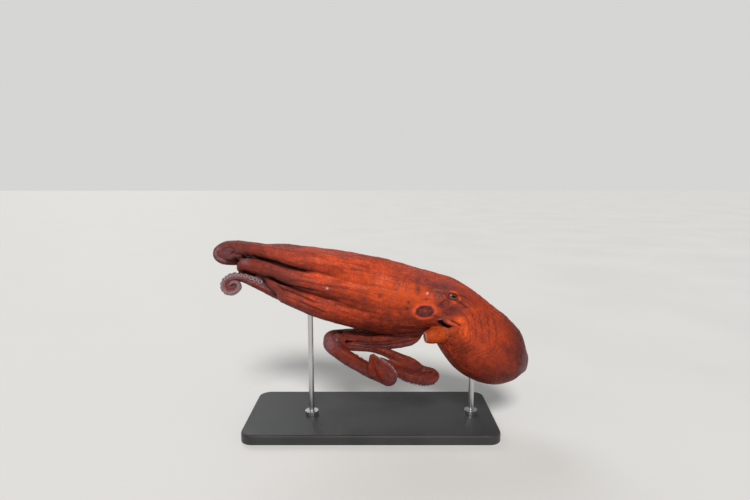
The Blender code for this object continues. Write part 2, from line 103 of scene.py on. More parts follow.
# After the bundle: where each arm leaves it, the points that its tail passes through, and its
# half thickness at those points, all in mm. The last is the tip.
TAILS = {
    "left_1": (-186, (
        (-208, -3, 268, 11), (-221, -2, 263, 9.5), (-224, -1, 257, 8.5), (-218, 1, 251, 7.5),
        (-206, 7, 248, 7.2), (-192, 18, 246.5, 7), (-176, 29, 244.5, 6.2), (-158, 38, 241, 5.8),
        (-138, 43, 236, 5.4), (-114, 47, 229, 4.8), (-86, 50, 220, 4), (-55, 53, 209, 3),
        (-25, 54, 201, 2.2), (2, 54, 196, 1.2),
    )),
    "left_2": (-150, (
        (-170, -8, 242.5, 11), (-183, -7, 244, 9.5), (-190, -4, 239, 8), (-187, 0, 232.5, 7),
        (-177, 3, 231, 6.4), (-164, 5, 232, 5.2), (-152, 6, 231.5, 3.6), (-143, 6, 230.5, 1.8),
    )),
    "left_3": (-116, (
        (-132, -10, 209.5, 10), (-142, -9, 216, 8.5), (-148, -5, 219.5, 7.5), (-148, 3, 219.5, 7),
        (-142, 13, 218, 6.2), (-129, 25, 213, 6), (-111, 34, 204, 5.6), (-92, 43, 192, 4.6),
        (-72, 46, 180, 3.8), (-54, 45, 166, 2.6), (-40, 42, 154, 1.3),
    )),
    "right_1": (-140, (
        (-160, 15, 259.0, 12.5), (-176, 15, 261.5, 10.5), (-187, 20, 260.0, 8.5),
        (-190, 28, 256.0, 7.5), (-180, 34, 253.5, 7), (-158, 38, 253.0, 6), (-130, 44, 250.5, 5),
        (-98, 49, 245.0, 4), (-68, 52, 238.0, 3), (-40, 54, 232.0, 2), (-18, 54, 229.0, 1.2),
    )),
    "right_2": (-138, (
        (-156, 21, 232, 10.5), (-170, 25, 229, 9.3), (-179, 29, 224, 8), (-180, 33, 215, 7),
        (-172, 36, 207, 6.2), (-158, 38, 202, 5.4), (-140, 40, 201, 4.6), (-120, 43, 204, 3.6),
        (-100, 46, 206, 2.4), (-84, 47, 205, 1.3),
    )),
    "right_3": (-84, (
        (-106, 17, 181.5, 12), (-126, 13, 192, 10.8), (-146, 8, 202, 9.8), (-162, 1, 211.6, 8.8),
        (-177, -6, 220.6, 8), (-190, -10, 225.9, 7), (-205, -12, 224.8, 6),
        (-214, -14, 217.3, 5.2), (-212, -17, 207.9, 4.6), (-200, -20, 205.6, 4.1),
        (-190, -22.5, 213.6, 3.5), (-192, -24.5, 221.3, 2.9), (-200, -26, 221.8, 2.2),
        (-203, -27, 216.7, 1.4),
    )),
    "left_4": (78, (
        (70, -7, 136, 9.5), (57, -7, 132.2, 10), (43, -6, 129.5, 10.5), (21, -4, 128, 11),
        (0, -1, 128.5, 10), (-21, 0, 131.5, 8.5), (-35, -1, 133.4, 7.5), (-42, -2, 126.7, 6.6),
        (-34, -3, 119.7, 6), (-17, -4, 117.7, 5.2), (3, -5, 115.7, 5), (23, -6, 110.1, 5.6),
        (42, -8, 101.1, 7), (60, -10, 94.6, 7.2), (76, -12, 85.6, 5.9), (91, -15, 81.2, 6.8),
        (93, -21, 78, 8.2), (79, -25, 76.9, 9.2), (60, -26, 80.2, 9), (44, -22, 85.3, 7.8),
        (32, -16, 91.5, 6), (22, -15, 98, 4.6), (12, -13, 105, 1.3),
    )),
    "right_4": (78, (
        (66, 17, 134, 13), (42, 23, 128, 13.5), (11, 25, 126, 13), (-20, 24, 126, 12),
        (-45, 19, 126.9, 10.5), (-61, 6, 128.9, 9.8), (-61, -8, 123.2, 9.6),
        (-47, -17, 114.6, 9.6), (-34, -21, 106.8, 9.6), (-19, -22, 97.5, 9.5),
        (-1, -21, 86.7, 9.3), (15, -21, 78.2, 9), (26, -24, 74, 8.6), (30, -29.5, 80.6, 7.6),
        (26, -33, 91.3, 6.8), (17, -34, 101.5, 5.6), (8, -34, 109.8, 3.8), (1, -33, 117.8, 1.3),
    )),
}
# How far the suckered side turns from the bundle's middle, in degrees, over this share of the tail.
ORAL_TWIST = {"right_4": 95.0, "left_4": -28.0}
TWIST_SHARE = 0.35
EYE_RADIUS = 11.0 * MM
EYES = {"left": (114.5, -31.5, 200.5), "right": (117.0, 25.0, 206.0)}  # each ball's centre, in mm
BROW_RISE = 6.0 * MM  # the swelling of the head round each eye
BROW_REACH = 17.0 * MM
FUNNEL_LINE = (  # x, y, z and radius, in mm, from inside the mantle to the mouth
    (118, -24, 147.5, 12), (108, -29, 146.4, 12), (97.5, -33, 145.4, 11.4),
    (87.5, -36.5, 144.6, 10.6), (81.5, -37.8, 144.1, 9.4), (77, -38.7, 143.8, 7.2),
)
FUNNEL_BORE = 4.4 * MM
GAPE = ((105.5, -41, 164.0), (10.5, 12, 6.2), 12.0)  # centre, half sizes and tilt of the mantle's gape


def unit(vectors: Array) -> Array:
    """The vector, or each row of vectors, made one long."""
    vectors = np.asarray(vectors, float)
    return vectors / (np.linalg.norm(vectors, axis=-1, keepdims=True) + 1e-12)


def funnel_mouth() -> tuple[Array, Array]:
    """The middle of the funnel's mouth, in mm, and the direction that it opens in."""
    mouth = np.array(FUNNEL_LINE[-1][:3])
    return mouth, unit(mouth - np.array(FUNNEL_LINE[-2][:3]))


def ease(value: Array | float, start: float, end: float) -> Array:
    """0 before start, 1 after end, and smooth between."""
    t = np.clip((np.asarray(value, float) - start) / (end - start), 0, 1)
    return t * t * (3 - 2 * t)


def arc(line: Array) -> Array:
    """The distance along the line at each of its points."""
    steps = np.linalg.norm(np.diff(line[:, :3], axis=0), axis=1)
    return np.concatenate([[0], np.cumsum(steps)])


def smooth_line(points: Array, step: float = 1.5 * MM) -> Array:
    """A smooth curve through rows of points.

    Args:
        points: Rows whose first three columns are a place. Other columns are carried along.
        step: The spacing of the rows that are returned.

    Returns:
        The rows of the curve, evenly spaced.
    """
    points = np.asarray(points, float)
    chord = np.linalg.norm(np.diff(points[:, :3], axis=0), axis=1)
    knots = np.concatenate([[0], np.cumsum(np.sqrt(chord / chord.mean()) * chord.mean())])
    slopes = np.gradient(points, knots, axis=0)
    fine = []
    for i, span in enumerate(np.diff(knots)):
        t = np.linspace(0, 1, max(3, int(chord[i] / step) * 2), endpoint=False)[:, None]
        fine.append(
            (2 * t**3 - 3 * t**2 + 1) * points[i]
            + (t**3 - 2 * t**2 + t) * span * slopes[i]
            + (3 * t**2 - 2 * t**3) * points[i + 1]
            + (t**3 - t**2) * span * slopes[i + 1]
        )
    fine = np.concatenate([*fine, points[-1:]])
    run = arc(fine)
    even = np.linspace(0, run[-1], max(4, int(run[-1] / step)))
    return np.stack([np.interp(even, run, column) for column in fine.T], axis=1)


def frames_of(line: Array) -> Array:
    """The directions along and across a line, turning no more than the line does.

    Args:
        line: Rows whose first three columns are a place.

    Returns:
        For each point, three rows: the tangent, the side and the up direction.
    """
    tangents = unit(np.gradient(line[:, :3], axis=0))
    side = np.array([0.0, 1.0, 0.0])
    side = unit(side - tangents[0] * (side @ tangents[0]))
    up = np.cross(tangents[0], side)
    up = up if up[2] >= 0 else -up
    found = []
    for tangent in tangents:
        side = unit(side - tangent * (side @ tangent))
        turned = np.cross(tangent, side)
        up = turned if turned @ up > 0 else -turned
        found.append((tangent, side, up))
    return np.array(found)


class Grain:
    """Smooth noise in three dimensions that is the same on every run."""

    CELLS = 256  # before the lattice repeats
    GAIN = 1.6  # brings the noise to about -1 to 1
    SHIFT = 17.3  # moves each layer off the last, so that they don't line up

    def __init__(self, seed: int) -> None:
        """Makes the lattice of slopes.

        Args:
            seed: The seed that the lattice is drawn from.
        """
        rng = np.random.default_rng(seed)
        self.order = np.tile(rng.permutation(self.CELLS), 3)
        self.slopes = unit(rng.normal(size=(self.CELLS, 3)))

    def at(self, points: Array, size: float) -> Array:
        """The noise at each point.

        Args:
            points: Rows of places.
            size: The width of one cell of the noise, in the units of the points.

        Returns:
            A value from about -1 to 1 for each row.
        """
        scaled = np.asarray(points, float) / size
        cell = np.floor(scaled).astype(int)
        inner = scaled - cell
        fade = inner**3 * (inner * (inner * 6 - 15) + 10)
        total = np.zeros(len(scaled))
        for dx in (0, 1):
            for dy in (0, 1):
                for dz in (0, 1):
                    corner = (cell + (dx, dy, dz)) & (self.CELLS - 1)
                    key = self.order[self.order[self.order[corner[:, 0]] + corner[:, 1]] + corner[:, 2]]
                    value = ((inner - (dx, dy, dz)) * self.slopes[key]).sum(1)
                    share = np.ones(len(scaled))
                    for axis, d in enumerate((dx, dy, dz)):
                        share *= fade[:, axis] if d else 1 - fade[:, axis]
                    total += value * share
        return total * self.GAIN

    def layered(self, points: Array, size: float, layers: int = 3) -> Array:
        """Several sizes of noise added, each half as wide and half as strong as the last.

        Args:
            points: Rows of places.
            size: The width of the widest noise's cells.
            layers: How many sizes are added.

        Returns:
            The noise at each point.
        """
        total = np.zeros(len(points))
        for k in range(layers):
            total += self.at(points + self.SHIFT * k * size, size / 2**k) / 2**k
        return total


@dataclass
class Strand:
    """A centre line with its half width and half height, and the directions across it."""

    line: Array
    run: Array = field(init=False)
    frames: Array = field(init=False)

    def __post_init__(self) -> None:
        """Measures the line and turns a frame along it."""
        self.run = arc(self.line)
        self.frames = frames_of(self.line)

    def nearest(self, x: float) -> int:
        """The index of the point of the line at that x."""
        return int(np.argmin(np.abs(self.line[:, 0] - x)))


AXIS = Strand(smooth_line(np.array(BODY_AXIS) * MM))


def bundle_reach(centre: Array, ways: Array) -> Array:
    """How far the outline of the whole bundle of arms is from a centre inside it.

    Args:
        centre: A place inside the bundle.
        ways: Unit directions, one to a row.

    Returns:
        The distance along each direction, or 0 where the centre is outside.
    """
    i = int(np.argmin(((AXIS.line[:, :3] - centre) ** 2).sum(1)))
    _, side, up = AXIS.frames[i]
    half_height, half_depth = AXIS.line[i, 3:5]
    place = centre - AXIS.line[i, :3]
    p = np.array([place @ side / half_depth, place @ up / half_height])
    d = np.stack([ways @ side / half_depth, ways @ up / half_height], axis=1)
    inside = 1 - p @ p
    if inside <= 0:
        return np.zeros(len(ways))
    a, b = (d * d).sum(1), d @ p
    return (-b + np.sqrt(b * b + a * inside)) / a


class Side(Enum):
    """The animal's own left or right."""

    LEFT = "left"
    RIGHT = "right"


class Arm(Strand):
    """One arm, from the crown to its tip."""

    SPACING = 12 * MM  # between the points that lay the arm through the bundle

    def __init__(self, name: str) -> None:
        """Lays the arm's centre line through the bundle and then along its tail.

        Args:
            name: The arm's side and number, as in TAILS.
        """
        self.name = name
        side, number = name.split("_")
        self.sign = -1 if Side(side) is Side.LEFT else 1
        self.number = int(number)
        leaves, tail = TAILS[name]
        self.leaves_x = leaves * MM
        tall = TALL.get(name, 1.0)
        free = [tuple(v * MM for v in (x, y, z, t, t * tall)) for x, y, z, t in tail]
        super().__init__(smooth_line(np.array(self.bundled() + free)))
        turning = np.gradient(self.frames[:, 0], axis=0) / np.gradient(self.run)[:, None]
        reach = 4  # how many points to either side of each a bend is felt
        padded = np.pad(turning, ((reach, reach), (0, 0)), mode="edge")
        near = np.stack([padded[k : k + len(turning)] for k in range(2 * reach + 1)])
        self.bends = unit(turning + 1e-9) * np.linalg.norm(near, axis=2).max(0)[:, None]
        self.free_run = float(self.run[np.argmax(self.line[:, 0] < self.leaves_x)])

    def bundled(self) -> list[tuple[float, ...]]:
        """The arm's points from the crown to where it leaves the bundle.

        Returns:
            Rows of x, y, z, half width and half height.
        """
        angle = math.radians(RING_ANGLES[self.number])
        ring = (RING_SHARE * math.cos(angle), RING_SHARE * math.sin(angle), *RING_SIZE)
        place = SLOTS.get(self.number, ring)
        rows = []
        for x in np.arange(CROWN_X, self.leaves_x - 1e-6, -self.SPACING):
            i = AXIS.nearest(x)
            moved = float(ease(-x, -CROWN_X, -RING_END_X))
            y, z, wide, high = (1 - moved) * np.array(ring) + moved * np.array(place)
            half_height, half_depth = AXIS.line[i, 3:5]
            _, side, up = AXIS.frames[i]
            centre = AXIS.line[i, :3] + side * (self.sign * y * half_depth) + up * (z * half_height)
            rows.append((*centre, wide * half_depth, high * half_height))
        return rows

    def web_share(self, i: int) -> float:
        """How far the web takes the arm's outer side out to the whole bundle's outline.

        Args:
            i: The index of a point of the arm's line.

        Returns:
            1 where the web covers the arm, 0 where there is none.
        """
        start = WEB_FULL_X if self.number < 4 else CROWN_X - LOW_WEB[0]
        end = WEB_END_X if self.number < 4 else self.leaves_x - LOW_WEB[1]
        return 1 - float(ease(-self.line[: i + 1, 0].min(), -start, -end))

    def oral_angle(self, run: Array) -> Array:
        """The direction of the suckered side.

        Args:
            run: Distances along the arm.

        Returns:
            The angle at each distance, from the side direction to the up direction.
        """
        start = int(np.searchsorted(self.run, self.free_run))
        centre = self.line[start, :3]
        inwards = AXIS.line[int(((AXIS.line[:, :3] - centre) ** 2).sum(1).argmin()), :3] - centre
        _, side, up = self.frames[start]
        turned = ease(run, self.free_run, self.free_run + TWIST_SHARE * (self.run[-1] - self.free_run))
        first = math.atan2(inwards @ up, inwards @ side)
        return first + math.radians(ORAL_TWIST.get(self.name, 0.0)) * turned

    def ring(self, i: int, sides: int) -> Array:
        """The outline of the arm square to its line.

        Args:
            i: The index of a point of the arm's line.
            sides: How many points the outline has.

        Returns:
            The points of the outline.
        """
        centre = self.line[i, :3]
        _, side, up = self.frames[i]
        angles = np.linspace(0, 2 * math.pi, sides, endpoint=False)
        ways = np.cos(angles)[:, None] * side + np.sin(angles)[:, None] * up
        half_width, half_height = self.line[i, 3:5]
        oval = 1 / np.hypot(np.cos(angles) / half_width, np.sin(angles) / half_height)
        web = self.web_share(i)
        if web > 0:
            oval = (1 - web) * oval + web * bundle_reach(centre, ways) * WEB_INSET
        bend = self.bends[i]
        sharp = float(np.linalg.norm(bend))
        if sharp > 1:
            lean = ways @ unit(bend)
            least = 0.05  # below this lean, a side counts as the outer one
            inner = BEND_SHARE / sharp / np.maximum(lean, least)
            oval = np.where(lean > least, np.minimum(oval, inner), oval)
        return centre + ways * oval[:, None]


@dataclass
class Shape:
    """Points and faces of one closed body."""

    points: Array
    faces: list[tuple[int, ...]]

    @staticmethod
    def loft(rings: list[Array], first: float = 0.0, last: float = 0.0) -> Shape:
        """A closed body through rings of equal length.

        Args:
            rings: The outlines, in order.
            first: How far the middle of the first cap stands out.
            last: How far the middle of the last cap stands out.

        Returns:
            The body.
        """
        count = len(rings[0])
        points = np.concatenate(rings)
        faces: list[tuple[int, ...]] = []
        for r in range(len(rings) - 1):
            for k in range(count):
                a, b = r * count + k, r * count + (k + 1) % count
                faces.append((a, b, b + count, a + count))
        ends = ((rings[0], rings[1], 0, first), (rings[-1], rings[-2], (len(rings) - 1) * count, last))
        for ring, inner, base, rise in ends:
            hub = ring.mean(0) + unit(ring.mean(0) - inner.mean(0)) * rise
            points = np.concatenate([points, hub[None]])
            faces.extend((base + k, base + (k + 1) % count, len(points) - 1) for k in range(count))
        return Shape(points, faces)

    @staticmethod
    def ball(centre: Array, radii: Array, tilt: float, sides: int = 48) -> Shape:
        """An ellipsoid.

        Args:
            centre: Its centre.
            radii: Its half sizes before it is tilted.
            tilt: Its turn about Y, in degrees.
            sides: How many points go round it.

        Returns:
            The body.
        """
        rings, pole = [], 0.03  # radians from a pole to the ring beside it
        for angle in np.linspace(pole, math.pi - pole, sides // 2):
            around = np.linspace(0, 2 * math.pi, sides, endpoint=False)
            circle = np.stack([np.cos(around), np.sin(around), np.zeros(sides)], axis=1) * math.sin(angle)
            circle[:, 2] = math.cos(angle)
            rings.append(circle * radii)
        turn = np.array(Matrix.Rotation(math.radians(tilt), 3, "Y"))
        return Shape.loft([ring @ turn.T + centre for ring in rings])

    def mesh(self, name: str) -> bpy.types.Object:
        """Makes an object of this body, with its faces turned outwards.

        Args:
            name: The object's name.

        Returns:
            The object, in the scene.
        """
        data = bpy.data.meshes.new(name)
        data.from_pydata([tuple(p) for p in self.points], [], self.faces)
        bm = bmesh.new()
        bm.from_mesh(data)
        bmesh.ops.recalc_face_normals(bm, faces=bm.faces)
        bm.to_mesh(data)
        bm.free()
        return shown(name, data)


def tube(line: tuple[tuple[float, ...], ...], sides: int = 40, step: float = 1.5 * MM) -> Shape:
    """A round tube.

    Args:
        line: Rows of x, y, z and radius along its middle, in mm.
        sides: How many points go round it.
        step: How far apart its rings are.

    Returns:
        The closed body of the tube.
    """
    rows = smooth_line(np.array(line) * MM, step)
    angles = np.linspace(0, 2 * math.pi, sides, endpoint=False)[:, None]
    rings = [
        row[:3] + (np.cos(angles) * side + np.sin(angles) * up) * row[3]
        for row, (_, side, up) in zip(rows, frames_of(rows))
    ]
    return Shape.loft(rings)


def shown(name: str, data: bpy.types.ID) -> bpy.types.Object:
    """Puts a new object into the scene.

    Args:
        name: Its name.
        data: Its mesh, light or camera.

    Returns:
        The object.
    """
    obj = bpy.data.objects.new(name, data)
    bpy.context.scene.collection.objects.link(obj)
    return obj


def apply_all(obj: bpy.types.Object) -> None:
    """Turns an object's modifiers into mesh.

    Args:
        obj: The object.
    """
    graph = bpy.context.evaluated_depsgraph_get()
    done = bpy.data.meshes.new_from_object(obj.evaluated_get(graph))
    obj.modifiers.clear()
    old = obj.data
    obj.data = done
    bpy.data.meshes.remove(old)




@dataclass
class Body:
    """The mantle, the head and the heart of the bundle of arms, round the body's axis."""

    sides: int = 112
    starts_at: float = 233.5 * MM
    ends_at: float = 20.0 * MM
    caps: Pair = (1.5 * MM, 1.0 * MM)  # how far the middles of its two ends stand out
    shrink: float = 0.985  # past the crown the body lies just inside the arms
    shrinks_over: float = 20.0 * MM
    bulge: tuple[tuple[float, ...], tuple[float, ...]] = ((118, -37.5, 151.5), (11.5, 8.5, 8.0))
    bulge_tilt: float = 8.0

    def ring(self, i: int) -> Array:
        """The outline of the body, swollen where the eyes are.

        Args:
            i: The index of a point of the body's axis.

        Returns:
            The points of the outline.
        """
        centre = AXIS.line[i, :3]
        _, side, up = AXIS.frames[i]
        half_height, half_depth = AXIS.line[i, 3:5]
        angles = np.linspace(0, 2 * math.pi, self.sides, endpoint=False)[:, None]
        points = centre + side * half_depth * np.cos(angles) + up * half_height * np.sin(angles)
        for eye in EYES.values():
            away = np.linalg.norm(points - np.array(eye) * MM, axis=1)[:, None]
            points = points + unit(points - centre) * BROW_RISE * np.exp(-((away / BROW_REACH) ** 2))
        inner = 1 - (1 - self.shrink) * float(ease(-centre[0], -CROWN_X, -CROWN_X + self.shrinks_over))
        return centre + (points - centre) * inner

    def shape(self) -> Shape:
        """The closed body, from the mantle's tip to inside the bundle.

        Returns:
            The body.
        """
        last = AXIS.nearest(self.ends_at)
        rows = [i for i in range(len(AXIS.line)) if i <= last and AXIS.line[i, 0] < self.starts_at]
        return Shape.loft([self.ring(i) for i in rows], *self.caps)

    def swelling(self) -> Shape:
        """The bulge of the mantle over the root of the funnel."""
        centre, radii = self.bulge
        return Shape.ball(np.array(centre) * MM, np.array(radii) * MM, self.bulge_tilt)


def far_squared(points: Array, line: Array) -> Array:
    """The squared distance from every point to every point of the line, in single precision."""
    a, b = points[:, :3].astype(np.float32), line[:, :3].astype(np.float32)
    return np.maximum((a * a).sum(1)[:, None] + (b * b).sum(1)[None] - 2 * a @ b.T, 0)


@dataclass
class Mark:
    """A place on the skin: an ellipsoid's centre and half sizes in mm, tilted about Y in degrees."""

    centre: Triple
    radii: Triple
    much: float = 1.0  # its strength, or its height in mm where it is a swelling
    tilt: float = 0.0
    power: float = 2.0  # how sharp its edge is
    paired: bool = True  # whether the other side of the animal has it too

    def at(self, points: Array) -> Array:
        """How strongly the mark acts.

        Args:
            points: Rows of places.

        Returns:
            A share from 0 to 1 for each point.
        """
        turn = np.array(Matrix.Rotation(math.radians(self.tilt), 3, "Y"))
        local = (points - np.array(self.centre) * MM) @ turn / (np.array(self.radii) * MM)
        return np.exp(-((local**2).sum(1) ** (self.power / 2)))

    def mirrored(self) -> Mark:
        """The same mark on the other side of the animal."""
        x, y, z = self.centre
        return Mark((x, -y, z), self.radii, self.much, self.tilt, self.power, self.paired)

    def sides(self) -> tuple[Mark, ...]:
        """The mark on each side of the animal that has it."""
        return (self, self.mirrored()) if self.paired else (self,)


@dataclass
class Furrow:
    """A groove or, with a negative depth, a ridge along a line on the skin. All sizes are in mm."""

    STEP = 0.6 * MM  # between the points of the line
    BLOCK = 20_000_000  # the most distances worked out at once
    END_SHARE = 0.1  # what is left of the furrow at its very ends

    depth: float
    width: float
    points: Triples
    tapers: Pair = (0.15, 0.2)

    def mirrored(self) -> Furrow:
        """The same line on the other side of the animal."""
        points = tuple((x, -y, z) for x, y, z in self.points)
        return Furrow(self.depth, self.width, points, self.tapers)

    def near(self, points: Array, surface: BVHTree, width: float = 0.0) -> Array:
        """How close each point is to the line.

        Args:
            points: Rows of places on the skin.
            surface: The skin, onto which the line is laid.
            width: The half width to use instead of the furrow's own, in mm.

        Returns:
            1 on the line and 0 well away from it, less towards the line's ends.
        """
        line = smooth_line(np.array(self.points) * MM, self.STEP)
        line = np.array([tuple(surface.find_nearest(Vector(p))[0]) for p in line])
        wide = (width or self.width) * MM
        found = np.zeros(len(points))
        low, high = line.min(0) - 3 * wide, line.max(0) + 3 * wide
        close = np.nonzero(((points > low) & (points < high)).all(1))[0]
        if not len(close):
            return found
        run = arc(line)
        for part in np.array_split(close, max(1, len(close) * len(line) // self.BLOCK)):
            squared = ((points[part][:, None, :] - line[None]) ** 2).sum(2)
            share = run[squared.argmin(1)] / run[-1]
            first, last = (taper + 1e-6 for taper in self.tapers)
            fade = ease(share, 0, first) * (1 - ease(share, 1 - last, 1.0))
            kept = self.END_SHARE + (1 - self.END_SHARE) * fade
            found[part] = np.exp(-squared.min(1) / wide**2) * kept
        return found


class Chart:
    """Where each point of the skin lies on the animal, and which arm it belongs to."""

    BLOCK = 20_000  # the most points measured at once
    TAIL_STARTS = (-10 * MM, 25 * MM)  # from where an arm leaves the bundle, its tail begins and is whole
    TAIL_REACH = (1.3, 1.6)  # in arm radii, the skin up to here is the arm's, and past here it isn't
    LEAST_APART = 2 * MM  # added to the distance between two arms that press on each other
    BODY_WIDTHS = (0.042, 0.048)  # the body's half depth and half height where streaks are drawn on it
    LEAST_WIDTH = 3 * MM  # and the least radius of an arm there
    ARM_SHIFT = 0.2  # moves each arm's streaks off those of the last

    def __init__(self, points: Array, normals: Array, arms: list[Arm]) -> None:
        """Measures every point against the body's axis and against the arms.

        Args:
            points: The places of the skin's points.
            normals: The skin's normals there.
            arms: The arms.
        """
        self.points, self.normals, self.arms = points, normals, arms
        count = len(points)
        self.body_run, offset, i = self.against(AXIS, self.nearest_on(AXIS.line))
        across = np.stack([(offset * AXIS.frames[i, 1]).sum(1), (offset * AXIS.frames[i, 2]).sum(1)], axis=1)
        across /= AXIS.line[i][:, [4, 3]]
        self.body_angle = np.arctan2(across[:, 1], across[:, 0])
        values, places = self.powers()
        order = np.argsort(values, axis=1)
        first, second = order[:, 0], order[:, 1]
        rows = np.arange(count)
        self.arm = first
        self.arm_run, self.arm_angle, self.arm_radius, self.tail, self.oral = np.zeros((5, count))
        centres, others = np.zeros((2, count, 3))
        for k, arm in enumerate(arms):
            own = first == k
            run, off, i = self.against(arm, places[own, k], own)
            side, up = (off * arm.frames[i, 1]).sum(1), (off * arm.frames[i, 2]).sum(1)
            self.arm_run[own] = run
            self.arm_angle[own] = np.arctan2(up, side)
            self.arm_radius[own] = np.sqrt(arm.line[i, 3] * arm.line[i, 4])
            reach = np.linalg.norm(off, axis=1) / self.arm_radius[own]
            begins = ease(run, *(arm.free_run + shift for shift in self.TAIL_STARTS))
            self.tail[own] = begins * (1 - ease(reach, *self.TAIL_REACH))
            self.oral[own] = np.cos(self.arm_angle[own] - arm.oral_angle(run))
            centres[own] = arm.line[i, :3]
            theirs = second == k
            others[theirs] = arm.line[places[theirs, k], :3]
        apart = np.linalg.norm(centres - others, axis=1) + self.LEAST_APART
        self.crease = (values[rows, second] - values[rows, first]) / (2 * apart)

    def nearest_on(self, line: Array) -> Array:
        """The index of the line's point that is nearest to each point of the skin."""
        parts = np.array_split(self.points, max(1, len(self.points) // self.BLOCK))
        return np.concatenate([far_squared(part, line).argmin(1) for part in parts])

    def against(
        self, strand: Strand, index: Array, own: Array | slice = slice(None)
    ) -> tuple[Array, Array, Array]:
        """Measures points against a strand.

        Args:
            strand: The strand.
            index: The nearest point of its line, for each point.
            own: Which points of the skin are measured.

        Returns:
            The distance along the strand, the offset square to it, and the index.
        """
        away = self.points[own] - strand.line[index, :3]
        along = (away * strand.frames[index, 0]).sum(1)
        step = strand.run[1] - strand.run[0]
        run = strand.run[index] + np.clip(along, -3 * step, 3 * step)
        return run, away - along[:, None] * strand.frames[index, 0], index

    def powers(self) -> tuple[Array, Array]:
        """How near each point is to each arm.

        Returns:
            For every point and arm, the least squared distance less the arm's squared radius, and the
            index of the arm's point where it is least.
        """
        values, places = [], []
        for part in np.array_split(self.points, max(1, len(self.points) // self.BLOCK)):
            least, where = [], []
            for arm in self.arms:
                picked = np.arange(0, len(arm.line), 2)
                line = arm.line[picked]
                power = far_squared(part, line) - (line[:, 3] * line[:, 4]).astype(np.float32)[None]
                best = power.argmin(1)
                least.append(power[np.arange(len(part)), best])
                where.append(picked[best])
            values.append(np.stack(least, axis=1))
            places.append(np.stack(where, axis=1))
        return np.concatenate(values).astype(float), np.concatenate(places)

    def flow(self) -> Array:
        """Places on the animal with the first axis along it, for streaks that follow the flesh.

        Returns:
            One place for each point of the skin.
        """
        deep, high = self.BODY_WIDTHS
        across = deep * np.cos(self.body_angle), high * np.sin(self.body_angle)
        body = np.stack([self.body_run, *across], axis=1)
        wide = np.maximum(self.arm_radius, self.LEAST_WIDTH)
        arm = np.stack([self.arm_run, wide * np.cos(self.arm_angle), wide * np.sin(self.arm_angle)], axis=1)
        arm[:, 1] += self.ARM_SHIFT * (self.arm + 1)
        return np.where(self.tail[:, None] > 0.5, arm, body)


